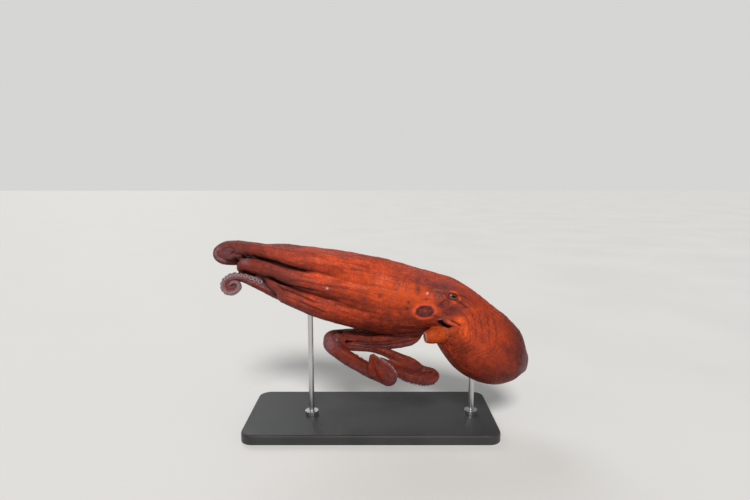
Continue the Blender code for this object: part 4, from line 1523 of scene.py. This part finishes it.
@dataclass
class Relief:
    """The wrinkles, swellings and lids of the skin, and the zones of colour that go with them."""

    chart: Chart
    surface: BVHTree
    eyes: tuple[Eye, Eye]
    neck: float = 128 * MM  # where the head ends and the mantle starts
    neck_ends: Pair = (-10 * MM, 12 * MM)
    crease: Pair = (2.0 * MM, 1.3 * MM)  # width and depth between pressed arms
    creased: Pair = (55 * MM, 110 * MM)  # creases begin at this -X and are whole at that
    groove_lip: Pair = (0.35, 2.4)  # a groove's lips: height over depth, width over width
    # Height and width in mm, layers, how much of it the mantle lacks, and whether it follows the flesh.
    ripples: tuple[tuple[float, float, int, float, bool], ...] = (
        (0.55, 7.5, 2, 0.75, True), (0.30, 3.2, 1, 0.6, True),
        (0.60, 19.0, 1, 0.0, False), (0.16, 2.6, 1, 0.0, False),
    )
    stretch: float = 5.5  # how much longer than wide the folds are that follow the flesh
    warts: Triple = (0.8, 6.0, 0.25)  # height and width in mm, and how rare
    wrinkles: Triple = (0.28, 8.5, 1.5)  # depth and spacing in mm, and wander
    full_arm: float = 9 * MM  # arms thinner than this have finer folds
    round_eye: Triple = (1.5, 4.0, 0.15)  # where folds fade near an eye, and what is left
    # The dark lines that run out from each eye, as steps along X and Z in mm.
    eye_ways: tuple[tuple[Pair, ...], ...] = (
        ((-6.8, 4.2), (-11.2, 5.5), (-14.7, 5.7)), ((-8.5, -2.7), (-14.1, -7.0), (-18.3, -11.5)),
        ((7.3, -4.5), (14.7, -10.5), (22.0, -15.0)), ((9.4, 3.1), (18.1, 5.2), (28.8, 4.2)),
    )
    # The orange patches round each eye: place along and across the slit, half sizes and strength.
    eye_patches: tuple[tuple[float, ...], ...] = (
        (9.8, 0.4, 3.8, 3.0, 0.95), (2.5, -6.8, 4.2, 2.2, 0.95),
        (1.0, 6.2, 4.4, 1.7, 0.65), (-8.4, 0.0, 2.6, 2.8, 0.35),
    )
    # Down-facing skin gets painted shade, most where it faces this way.
    underside: Triple = (0.35, 0.0, -0.94)  # the way that the darkest skin faces

    def __post_init__(self) -> None:
        """Finds the free lengths of the fourth arms, and how far each point faces down, which sets its
        painted shade.
        """
        low = [k for k, arm in enumerate(self.chart.arms) if arm.number == 4]
        self.fourth = self.chart.tail * np.isin(self.chart.arm, low)
        self.down = ease(self.chart.normals @ unit(np.array(self.underside)), -0.25, 0.65)

    def behind(self, start: float, end: float) -> Array:
        """0 where X is over -start and 1 where it is under -end, both in mm."""
        return ease(-self.chart.points[:, 0], start * MM, end * MM)

    def near(self, furrow: Furrow, width: float = 0.0) -> Array:
        """How close each point of the skin is to a furrow, from 0 to 1."""
        return furrow.near(self.chart.points, self.surface, width)

    def most(self, marks: tuple[Mark, ...]) -> Array:
        """The strongest of the marks at each point."""
        made = [one for mark in marks for one in mark.sides()]
        return np.max([one.much * one.at(self.chart.points) for one in made], axis=0)

    def wrinkle(self) -> Array:
        """Fine wavy wrinkles round the mantle.

        Returns:
            A share from 0 to 1 for each point.
        """
        chart, grain = self.chart, Grain(5)
        _, spacing, wander = self.wrinkles
        phase = chart.body_run / (spacing * MM) + wander * grain.layered(chart.points, 34 * MM, 3)
        wave = (0.5 + 0.5 * np.cos(2 * math.pi * phase)) ** 3
        return wave * ease(grain.at(chart.points, 23 * MM), -0.5, 0.5)

    def mantle(self) -> Array:
        """1 on the mantle, 0 on the head."""
        edge = float(AXIS.run[AXIS.nearest(self.neck)])
        return 1 - ease(self.chart.body_run, *(edge + shift for shift in self.neck_ends))

    def moved(self) -> Array:
        """Raises every fold, wrinkle and lid, and keeps the grooves and wrinkles for the zones.

        Returns:
            The new places of the skin's points.
        """
        chart = self.chart
        points = chart.points
        rise = np.zeros(len(points))
        wide, deep = self.crease
        self.creases = np.exp(-((chart.crease / wide) ** 2)) * ease(-points[:, 0], *self.creased)
        rise -= deep * self.creases
        self.grooves = np.zeros(len(points))
        lip_height, lip_width = self.groove_lip
        grooves = [made for furrow in LEFT_GROOVES + MANTLE_WRINKLES for made in (furrow, furrow.mirrored())]
        for furrow in grooves + list(LOWER_GROOVES):
            near = self.near(furrow)
            rise -= furrow.depth * MM * near
            rise += lip_height * furrow.depth * MM * self.near(furrow, furrow.width * lip_width) * (1 - near)
            self.grooves = np.maximum(self.grooves, near * min(1.0, 0.35 + 0.35 * furrow.depth))
        for furrow in LIPS:
            for made in (furrow, furrow.mirrored()):
                rise -= made.depth * MM * self.near(made)
        for mark in SWELLINGS:
            for made in mark.sides():
                rise += made.much * MM * made.at(points)
        grain, flow = Grain(11), chart.flow() * (1 / self.stretch, 1, 1)
        thin = np.clip(chart.arm_radius / self.full_arm, 0.25, 1.0) * chart.tail + (1 - chart.tail)
        mantle = self.mantle()
        for high, size, layers, lost, along in self.ripples:
            noise = grain.layered(flow if along else points, size * MM, layers)
            rise += high * MM * noise * (1 - lost * mantle) * thin
        self.wrinkled = self.wrinkle() * mantle
        rise -= self.wrinkles[0] * MM * self.wrinkled
        high, size, rare = self.warts
        rise += high * MM * np.maximum(grain.at(points, size * MM) - rare, 0) * thin
        start, end, least = self.round_eye
        ring = np.min([eye.ring(points) for eye in self.eyes], axis=0)
        rise *= ease(ring, start, end) * (1 - least) + least
        rise *= 1 - 0.8 * self.funnel()
        moved = points + chart.normals * rise[:, None]
        for eye in self.eyes:
            moved = eye.cover(moved)
        return moved

    def eye_lines(self) -> Array:
        """The dark lines that run out from each eye.

        Returns:
            A share from 0 to 1 for each point.
        """
        found = []
        for eye in self.eyes:
            x, y, z = eye.centre / MM + eye.look * 9
            for way in self.eye_ways:
                found.append(self.near(Furrow(0, 1.5, tuple((x + a, y, z + b) for a, b in way))))
        return np.max(found, axis=0)

    def eye_skin(self) -> tuple[Array, Array]:
        """The skin round the eyes.

        Returns:
            The share of the orange patches and that of the dark rims of the lids at each point.
        """
        near, lids = np.zeros((2, len(self.chart.points)))
        for eye in self.eyes:
            a, b, out = eye.local(self.chart.points)
            for x, z, wide, high, much in self.eye_patches:
                spot = np.exp(-(((a / MM - x) / wide) ** 2) - (((b / MM - z) / high) ** 2)) * (out > 0)
                near = np.maximum(near, much * spot)
            rim = np.exp(-(((eye.ring(self.chart.points) - 1.12) / 0.16) ** 2))
            lids = np.maximum(lids, rim * (0.6 - 0.5 * ease(a, 2 * MM, 7 * MM)))
        return near, lids

    def lower(self) -> Array:
        """The darker fourth arms, and painted shade on down-facing skin, at the far ends of the arms and at
        the marks.
        """
        # The far ends of the arms get painted shade, where less light reaches them.
        ends = 0.75 * self.behind(80, 190)
        return np.max([self.fourth, 0.97 * self.down, ends, self.most(LOWER_SHADE_MARKS)], axis=0)

    def bloom_and_sheen(self) -> Array:
        """The pale bloom of the ends, the backs and the edges of the suckered sides, largely a painted sheen.

        Returns:
            A share from 0 to 1 for each point.
        """
        edge = self.chart.tail * np.exp(-(((self.chart.oral - 0.50) / 0.20) ** 2)) * 0.7
        # Painted sheen on the marked edges and tops, a bluish painted sheen on the far arms, and the pale
        # rims.
        layers = [self.most(BLOOM_AND_SHEEN_MARKS), 0.07 * self.behind(40, 110), 0.9 * self.near(END_RIM), edge]
        return np.max([*layers, self.fourth * self.down * 0.35], axis=0)

    def dark_spots(self, false_eye: Array) -> Array:
        """The small dark spots of the head and web, the wide painted shade and the false eye spots.

        Args:
            false_eye: The share of the false eye spots.

        Returns:
            A share from 0 to 1 for each point.
        """
        marks = (Mark((x, -38, z), (a, 18, b), deep, 0, 2.6) for x, z, a, b, deep in DARK_SPOTS)
        spots = self.most(tuple(marks))
        spots = spots * (0.95 + 0.9 * Grain(31).layered(self.chart.points, 4.5 * MM, 2))
        return np.maximum(np.clip(np.maximum(spots, self.most(SHADE_MARKS)), 0, 0.85), false_eye)

    def shade_and_dark_lines(self, lids: Array) -> Array:
        """Painted shade in creases, grooves, slits and behind the funnel; dark lines by eyes, lids and
        wrinkles.

        Args:
            lids: The share of the lids' rims.

        Returns:
            A share from 0 to 1 for each point.
        """
        # Creases between pressed arms and every groove get painted shade.
        deep = np.clip(0.85 * self.creases * self.behind(80, 130) + 0.9 * self.grooves, 0, 1)
        flap = 0.85 * self.near(LIPS[3], 1.3)
        fine = (0.6 * self.eye_lines(), lids, 0.38 * self.wrinkled, self.most(SHADOW_MARKS))
        return np.max([deep, *fine, flap], axis=0)

    def dim(self) -> Array:
        """The painted shade on the top of the crown and at the far ends of the arms, from 0 to 1."""
        return np.maximum(self.most(CROWN_SHADE_MARKS), 0.40 * self.behind(70, 140))

    def zones(self) -> dict[str, Array]:
        """The numbers that the skin's finish reads.

        Returns:
            Three or four numbers for each vertex, under the names that they are kept under.
        """
        chart = self.chart
        mantle, nozzle = self.mantle(), self.funnel()
        spot, core, ring = FalseEye().tones(chart.points, Grain(23).layered(chart.points, 7 * MM, 2))
        near_eye, lids = self.eye_skin()
        round_eye = self.most(DIM_MARKS)
        # Painted light on the near side of the head and web, kept off the skin round the eyes.
        glow = self.most(PAINTED_GLOW_MARKS) * (1 - np.clip(1.2 * round_eye, 0, 1))
        patch = np.max([self.most(ORANGE_MARKS), near_eye, glow], axis=0)
        dim = np.maximum(round_eye, self.dim())
        dim = dim * (1 - np.clip(1.6 * np.maximum(ring, near_eye), 0, 1)) * (1 - 0.6 * patch)
        # Dusky blotches everywhere, denser at the marks, some of which paint shade.
        dusk_and_shade = 0.25 + 0.75 * self.most(DUSK_AND_SHADE_MARKS)
        lined = np.minimum(1 - self.most(PLAIN_MARKS), 1 - 0.55 * mantle)
        # Pale lips, and a painted highlight on the funnel's mouth.
        lips = (0.20 * self.near(LIPS[0], 1.0), 0.18 * self.near(LIPS[1], 1.0), 0.6 * self.mouth_highlight())
        pale = np.max([self.most(SPECKS), *lips], axis=0)
        oral = chart.tail * ease(chart.oral, 0.62, 0.86)
        columns = {
            "tones": (dim, lined, core),
            # Painted shade below and at the far ends, blotches that partly paint shade, and bloom partly
            # painted as sheen.
            "zones": (mantle, self.lower(), dusk_and_shade, self.bloom_and_sheen()),
            "spots": (np.maximum(nozzle, self.most(BULGE_MARKS)), ring, self.dark_spots(spot), patch),
            "lines": (self.shade_and_dark_lines(lids) * (1 - nozzle), self.hollow_shade(), oral, pale),
        }
        return {name: np.stack(values, axis=1) for name, values in columns.items()}

    def funnel(self) -> Array:
        """The funnel's tube.

        Returns:
            1 on the tube and 0 off it, for each point.
        """
        line = smooth_line(np.array(FUNNEL_LINE) * MM)
        points = self.chart.points
        gone = np.sqrt(far_squared(points, line))
        share = gone.min(1) / line[gone.argmin(1), 3]
        before = (1 - ease(points[:, 0], 104 * MM, 112 * MM)) * (points[:, 1] < 0)
        return (1 - ease(share, 1.04, 1.16)) * before

    def from_mouth(self) -> tuple[Array, Array]:
        """Measures every point from the funnel's mouth.

        Returns:
            How far each point is out of the mouth and across it.
        """
        mouth, way = funnel_mouth()
        away = self.chart.points - mouth * MM
        along = away @ way
        return along, np.linalg.norm(away - along[:, None] * way, axis=1)

    def mouth_highlight(self) -> Array:
        """A painted highlight on the rim of the funnel's mouth.

        Returns:
            1 on the rim and 0 away from it, for each point.
        """
        along, across = self.from_mouth()
        middle = (FUNNEL_BORE / MM + FUNNEL_LINE[-1][3]) / 2 * MM
        return np.exp(-(((across - middle) / (1.6 * MM)) ** 2) - ((along / (2.0 * MM)) ** 2))

    def hollow_shade(self) -> Array:
        """The insides of the mantle's gape and the funnel's bore, which get painted shade.

        Returns:
            1 inside them and 0 elsewhere, for each point.
        """
        centre, radii, tilt = GAPE
        turn = np.array(Matrix.Rotation(math.radians(tilt), 3, "Y"))
        local = (self.chart.points - np.array(centre) * MM) @ turn / (np.array(radii) * MM)
        # Only what lies behind the mantle's outer skin counts as inside.
        gape = 1 - ease(np.linalg.norm(local, axis=1), 0.98, 1.12)
        gape *= ease(self.chart.points[:, 1], -43 * MM, -39 * MM)
        along, across = self.from_mouth()
        bore = (1 - ease(across, FUNNEL_BORE + 0.6 * MM, FUNNEL_BORE + 1.6 * MM)) * (along > -16 * MM)
        return np.maximum(gape, bore * ease(-along, -1 * MM, 3 * MM))


@dataclass
class Skin:
    """The one skin of the octopus, from the mantle's tip to the tips of the arms."""

    voxel: float = 0.95 * MM
    relax: tuple[float, int] = (0.5, 5)  # how strongly and how often the steps of the voxels are smoothed
    sides: int = 40
    ring_step: float = 1.5 * MM  # between the rings of an arm
    tip_cap: float = 0.8 * MM  # how far the end of an arm's tip stands out
    fine: Pair = (17 * MM, 9 * MM)  # round an eye, the faces are divided once, and once more
    arms: list[Arm] = field(default_factory=lambda: [Arm(name) for name in TAILS])
    eyes: tuple[Eye, Eye] = field(default_factory=lambda: (Eye(Side.LEFT), Eye(Side.RIGHT)))
    bore: tuple[Pair, ...] = ((-13, 3.6), (-6, 4.0), (0, 4.6), (3, 5.4))
    # Flesh between the turns of folded arms: centre, half sizes and tilt.
    folds: tuple[tuple[tuple[float, ...], tuple[float, ...], float], ...] = (
        ((-208, -6, 260), (14, 7.5, 8), 8.0),
        ((-201, -21, 214.5), (9, 3.0, 8), 0.0),
        ((-50, -2, 130), (8, 6, 9), 0.0),
        ((-193, -4, 256), (7, 6, 5), 0.0),
    )
    # Thin strips of flesh: x, y, z and radius.
    webs: tuple[tuple[tuple[float, ...], ...], ...] = (
        (
            (-176, -9, 238, 2.2), (-160, -9, 232, 3.6), (-142, -9, 225, 4.2), (-124, -10, 218, 4.4),
            (-104, -12, 211, 3.5),
        ),
        (
            (0, -33, 116, 1.5), (0.5, -32, 109, 3.0), (0.5, -31, 101, 5.0), (1, -29, 93, 7.5),
            (4, -26, 85, 8.0),
        ),
        (
            (3, -33, 112, 2.5), (8, -32.5, 102, 5.5), (14, -31.5, 92, 7.5), (19, -29.5, 83, 8.0),
            (20, -26, 77, 7.0),
        ),
        ((-170, -4, 230, 4.2), (-155, -4, 225.5, 6.0), (-144, -5, 220.5, 6.2)),
        ((-196, 2, 260, 2.5), (-175, 3, 257, 3.2), (-155, 3, 253.5, 3.2), (-138, 3, 249.6, 3.0)),
        ((103, -40, 169.5, 1.2), (107, -40.5, 167, 2.0), (111, -41.5, 165, 2.4), (115, -42.5, 163, 1.8)),
        ((28, -12, 101, 2.0), (44, -15, 93, 3.6), (58, -17, 87.5, 3.6), (74, -18, 82, 3.0)),
    )

    def cut(self, piece: Shape, cutter: Shape, name: str) -> bpy.types.Object:
        """Takes one shape out of another.

        Args:
            piece: The shape that is cut.
            cutter: The shape that is taken out of it.
            name: The name of the object that is made.

        Returns:
            The cut object.
        """
        made, tool = piece.mesh(name), cutter.mesh("cutter")
        boolean = made.modifiers.new("cut", "BOOLEAN")
        boolean.operation = "DIFFERENCE"
        boolean.solver = "EXACT"
        boolean.object = tool
        apply_all(made)
        bpy.data.objects.remove(tool)
        return made

    def union(self) -> bpy.types.Object:
        """Makes the body, the funnel and the arms one closed mesh, with the gape cut in.

        Returns:
            The bare skin.
        """
        centre, radii, tilt = GAPE
        gape = Shape.ball(np.array(centre) * MM, np.array(radii) * MM, tilt)
        mouth, way = funnel_mouth()
        bore = tube(tuple((*(mouth + way * reach), wide) for reach, wide in self.bore), step=1 * MM)
        body = Body()
        skin = self.cut(body.shape(), gape, "skin")
        parts = [self.cut(body.swelling(), gape, "part"), self.cut(tube(FUNNEL_LINE), bore, "part")]
        parts += [self.arm_shape(arm).mesh("part") for arm in self.arms]
        for place, half, lean in self.folds:
            parts.append(Shape.ball(np.array(place) * MM, np.array(half) * MM, lean).mesh("part"))
        parts += [tube(web).mesh("part") for web in self.webs]
        bm = bmesh.new()
        for obj in [skin, *parts]:
            bm.from_mesh(obj.data)
        bm.to_mesh(skin.data)
        bm.free()
        for obj in parts:
            bpy.data.objects.remove(obj)
        remesh = skin.modifiers.new("one_skin", "REMESH")
        remesh.mode = "VOXEL"
        remesh.voxel_size = self.voxel
        relax = skin.modifiers.new("relax", "SMOOTH")
        relax.factor, relax.iterations = self.relax
        apply_all(skin)
        return skin

    def arm_shape(self, arm: Arm) -> Shape:
        """The closed body of one arm.

        Args:
            arm: The arm.

        Returns:
            The body.
        """
        step = max(1, round(self.ring_step / (arm.run[1] - arm.run[0])))
        rings = [arm.ring(i, self.sides) for i in range(0, len(arm.line) - 1, step)]
        return Shape.loft(rings, 0.0, self.tip_cap)

    def refine(self, obj: bpy.types.Object) -> None:
        """Divides the faces round the eyes, so that the folds there have points.

        Args:
            obj: The bare skin.
        """
        bm = bmesh.new()
        bm.from_mesh(obj.data)
        for reach in self.fine:
            for eye in self.eyes:
                place = Vector(eye.centre + eye.look * EYE_RADIUS)
                near = [face for face in bm.faces if (face.calc_center_median() - place).length < reach]
                edges = {edge for face in near for edge in face.edges}
                bmesh.ops.subdivide_edges(bm, edges=list(edges), cuts=1, use_grid_fill=True, smooth=0.0)
        bmesh.ops.triangulate(bm, faces=[face for face in bm.faces if len(face.verts) > 4])
        bm.to_mesh(obj.data)
        bm.free()

    def build(self) -> bpy.types.Object:
        """Builds and dresses the skin.

        Returns:
            The finished skin.
        """
        obj = self.union()
        self.refine(obj)
        data = obj.data
        chart = Chart(points_of(data), normals_of(data), self.arms)
        relief = Relief(chart, BVHTree.FromObject(obj, bpy.context.evaluated_depsgraph_get()), self.eyes)
        moved = relief.moved()
        store(data, "flow", chart.flow())
        for name, values in relief.zones().items():
            store(data, name, values)
        data.vertices.foreach_set("co", moved.astype(np.float32).ravel())
        data.update()
        data.shade_smooth()
        data.materials.clear()
        data.materials.append(SkinFinish().material())
        flesh = [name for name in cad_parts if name.startswith(("arm_", "head", "mantle", "funnel"))]
        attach(obj, "root")
        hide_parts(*flesh)
        LOG.info("skin: %d faces", len(data.polygons))
        return obj


@dataclass
class Suckers:
    """The two rows of suckers on the inner side of every free length of arm."""

    arms: list[Arm]
    share: float = 0.40  # a sucker's radius over the arm's
    least: float = 0.7 * MM  # the least radius
    spacing: float = 1.04  # from one sucker to the next of the other row, in radii
    ends: Pair = (6 * MM, 3 * MM)  # bare lengths at the start and the end of a tail
    splay: float = 0.46  # half the angle between the rows
    oval: Pair = (1.04, 0.96)  # its length along the arm and its width, in radii
    clear: float = 7 * MM  # the room that a sucker needs before it
    sides: int = 14
    profile: Triples = (  # radius, height and how pale, in radii
        (0.78, -0.55, 0.0), (0.98, -0.10, 0.2), (1.04, 0.16, 0.7), (0.96, 0.36, 1.0),
        (0.80, 0.40, 1.0), (0.60, 0.26, 0.6), (0.40, 0.06, 0.1), (0.18, -0.02, 0.0),
    )

    def cup(
        self, place: Array, out: Array, along: Array, radius: float
    ) -> tuple[Array, Array]:
        """One sucker.

        Args:
            place: The middle of its foot, on the skin.
            out: The direction that it faces.
            along: The direction along the arm.
            radius: Its radius.

        Returns:
            Its points, ring by ring with the middle last, and how pale each is.
        """
        across = unit(np.cross(out, along))
        along = np.cross(across, out)
        long, wide = self.oval
        angles = np.linspace(0, 2 * math.pi, self.sides, endpoint=False)[:, None]
        circle = np.cos(angles) * along * long + np.sin(angles) * across * wide
        points = [place + (circle * r + out * h) * radius for r, h, _ in self.profile]
        pale = [np.full(self.sides, p) for _, _, p in self.profile]
        points.append((place + out * self.profile[-1][1] * radius)[None])
        return np.concatenate(points), np.concatenate([*pale, [0.0]])

    def faces(self, base: int) -> list[tuple[int, ...]]:
        """The faces of one sucker.

        Args:
            base: The index of its first point.

        Returns:
            The indices of each face's points.
        """
        found: list[tuple[int, ...]] = []
        turn = [(k, (k + 1) % self.sides) for k in range(self.sides)]
        last = base + (len(self.profile) - 1) * self.sides
        for ring in range(base, last, self.sides):
            found.extend((ring + a, ring + b, ring + b + self.sides, ring + a + self.sides) for a, b in turn)
        found.extend((last + a, last + b, last + self.sides) for a, b in turn)
        found.append(tuple(base + k for k in reversed(range(self.sides))))
        return found

    def build(self, skin: bpy.types.Object) -> bpy.types.Object:
        """Builds the suckers of all the arms, joined into one mesh.

        Args:
            skin: The finished skin that they stand on.

        Returns:
            The suckers.
        """
        surface = BVHTree.FromObject(skin, bpy.context.evaluated_depsgraph_get())
        points, pales, faces = [], [], []
        for arm in self.arms:
            for place, out, along, radius in self.places(arm, surface):
                made, pale = self.cup(place, out, along, radius)
                faces.extend(self.faces(sum(map(len, points))))
                points.append(made)
                pales.append(pale)
        obj = Shape(np.concatenate(points), faces).mesh("suckers")
        pale = np.concatenate(pales)
        store(obj.data, "cup_place", np.stack([pale, pale, pale], axis=1))
        obj.data.shade_smooth()
        obj.data.materials.append(SuckerFinish().material())
        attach(obj, "root")
        LOG.info("suckers: %d cups", len(points))
        return obj

    def places(self, arm: Arm, surface: BVHTree) -> list[tuple[Array, Array, Array, float]]:
        """Where an arm's suckers stand.

        Args:
            arm: The arm.
            surface: The finished skin.

        Returns:
            For each sucker its foot, the direction that it faces, the arm's direction and its radius.
        """
        found = []
        run, row = arm.free_run + self.ends[0], 1
        while run < arm.run[-1] - self.ends[1]:
            i = int(np.searchsorted(arm.run, run))
            wide = float(np.sqrt(arm.line[i, 3] * arm.line[i, 4]))
            radius = max(self.least, self.share * wide)
            angle = float(arm.oral_angle(np.array([run]))[0]) + row * self.splay
            tangent, side, up = arm.frames[i]
            out = math.cos(angle) * side + math.sin(angle) * up
            hit, normal, _, reach = surface.ray_cast(Vector(arm.line[i, :3]), Vector(out))
            if hit is not None and reach < 1.3 * wide + 1 * MM and normal.dot(Vector(out)) > 0.55:
                facing = unit(np.array(normal) + 0.5 * out)
                ahead = surface.ray_cast(hit + Vector(facing) * 0.6 * MM, Vector(facing), self.clear)
                if ahead[0] is None:
                    found.append((np.array(hit), facing, tangent, radius))
            run += self.spacing * radius
            row = -row
        return found


class Stand:
    """The museum stand: its base, its two rods and the sockets they stand in."""

    def dress(self) -> None:
        """Gives each of the stand's pieces its finish."""
        made = {finish: finish.material() for finish in StandFinish}
        for name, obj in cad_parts.items():
            if name.startswith("stand_"):
                finish = StandFinish.BASE if name == "stand_base" else StandFinish.METAL
                obj.data.materials.clear()
                obj.data.materials.append(made[finish])
                LOG.info("%s: %s", name, finish.value)


@dataclass(frozen=True)
class Lamp:
    """A soft light that falls evenly on the animal and the whole floor."""

    name: str
    place: Triple
    strength: float
    spread: float  # how wide it looks from the floor, in degrees
    colour: Triple
    aim: Triple = (0.04, 0, 0.18)

    def hang(self) -> None:
        """Puts the light in the scene."""
        lamp = bpy.data.lights.new(self.name, "SUN")
        lamp.angle = math.radians(self.spread)
        lamp.energy = self.strength
        lamp.color = self.colour
        obj = shown(self.name, lamp)
        obj.location = self.place
        obj.rotation_euler = (Vector(self.aim) - Vector(self.place)).to_track_quat("-Z", "Y").to_euler()


@dataclass
class Studio:
    """The pale floor, the soft lights and the camera."""

    floor_side: float = 24.0
    floor_colours: Triples = ((0.66, 0.66, 0.65), (0.68, 0.68, 0.67))
    camera_at: Triple = (0.005998, -0.782039, 0.374798)
    camera_down: float = 8.0
    half_view: float = 35.0  # degrees from the middle of the view to its side
    sensor: float = 36.0
    world: float = 0.34  # how bright the surroundings are as light
    backdrop: float = 0.82  # and as seen
    world_colour: Triple = (0.82, 0.82, 0.81)
    lamps: tuple[Lamp, ...] = (
        Lamp("key", (0.02, -0.95, 1.10), 3.1, 18, (1.0, 0.97, 0.93)),
        Lamp("back", (-0.5, 1.1, 1.2), 0.7, 30, (0.95, 0.98, 1.0)),
    )

    def build(self) -> None:
        """Makes them all."""
        self.surround()
        self.lay_floor()
        for lamp in self.lamps:
            lamp.hang()
        self.set_camera()
        bpy.context.scene.view_settings.view_transform = "Standard"

    def surround(self) -> None:
        """Makes the even surroundings, which look brighter than they shine."""
        world = bpy.data.worlds.new("studio")
        bpy.context.scene.world = world
        world.use_nodes = True
        tree = world.node_tree
        background = tree.nodes["Background"]
        background.inputs["Color"].default_value = (*self.world_colour, 1)
        seen = tree.nodes.new("ShaderNodeLightPath").outputs["Is Camera Ray"]
        share = tree.nodes.new("ShaderNodeMapRange")
        share.inputs["To Min"].default_value = self.world
        share.inputs["To Max"].default_value = self.backdrop
        tree.links.new(seen, share.inputs["Value"])
        tree.links.new(share.outputs["Result"], background.inputs["Strength"])

    def lay_floor(self) -> None:
        """Lays the pale floor."""
        half = self.floor_side / 2
        corners = [(-half, -half, 0), (half, -half, 0), (half, half, 0), (-half, half, 0)]
        data = bpy.data.meshes.new("floor")
        data.from_pydata(corners, [], [(0, 1, 2, 3)])
        floor = shown("floor", data)
        r = Recipe("floor")
        cloud = r.noise(r.place(), 3, 3, 0.5)
        r.finish(Base_Color=r.blend(cloud, *self.floor_colours), Roughness=r.span(cloud, 0.3, 0.7, 0.6, 0.75))
        data.materials.append(r.material)
        floor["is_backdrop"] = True

    def set_camera(self) -> None:
        """Sets the camera before the animal's left side, a little above it and tilted down."""
        camera = bpy.data.cameras.new("camera")
        camera.sensor_width = self.sensor
        camera.lens = self.sensor / 2 / math.tan(math.radians(self.half_view))
        obj = shown("camera", camera)
        obj.location = self.camera_at
        obj.rotation_euler = (math.radians(90 - self.camera_down), 0, 0)
        bpy.context.scene.camera = obj


def main() -> None:
    """Builds the octopus, its stand's finishes and the studio, in that order."""
    logging.basicConfig(level=logging.INFO, format="%(name)s: %(message)s")
    Studio().build()
    skin = Skin()
    dressed = skin.build()
    for eye in skin.eyes:
        LOG.info("eyeball_%s: %d faces", eye.side.value, len(eye.ball().data.polygons))
    Suckers(skin.arms).build(dressed)
    Stand().dress()
    boxes = {"cad": CAD_BOX, "visual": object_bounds()}
    size = {name: [list(map(float, corner)) for corner in box] for name, box in boxes.items()}


if __name__ == "__main__":
    main()
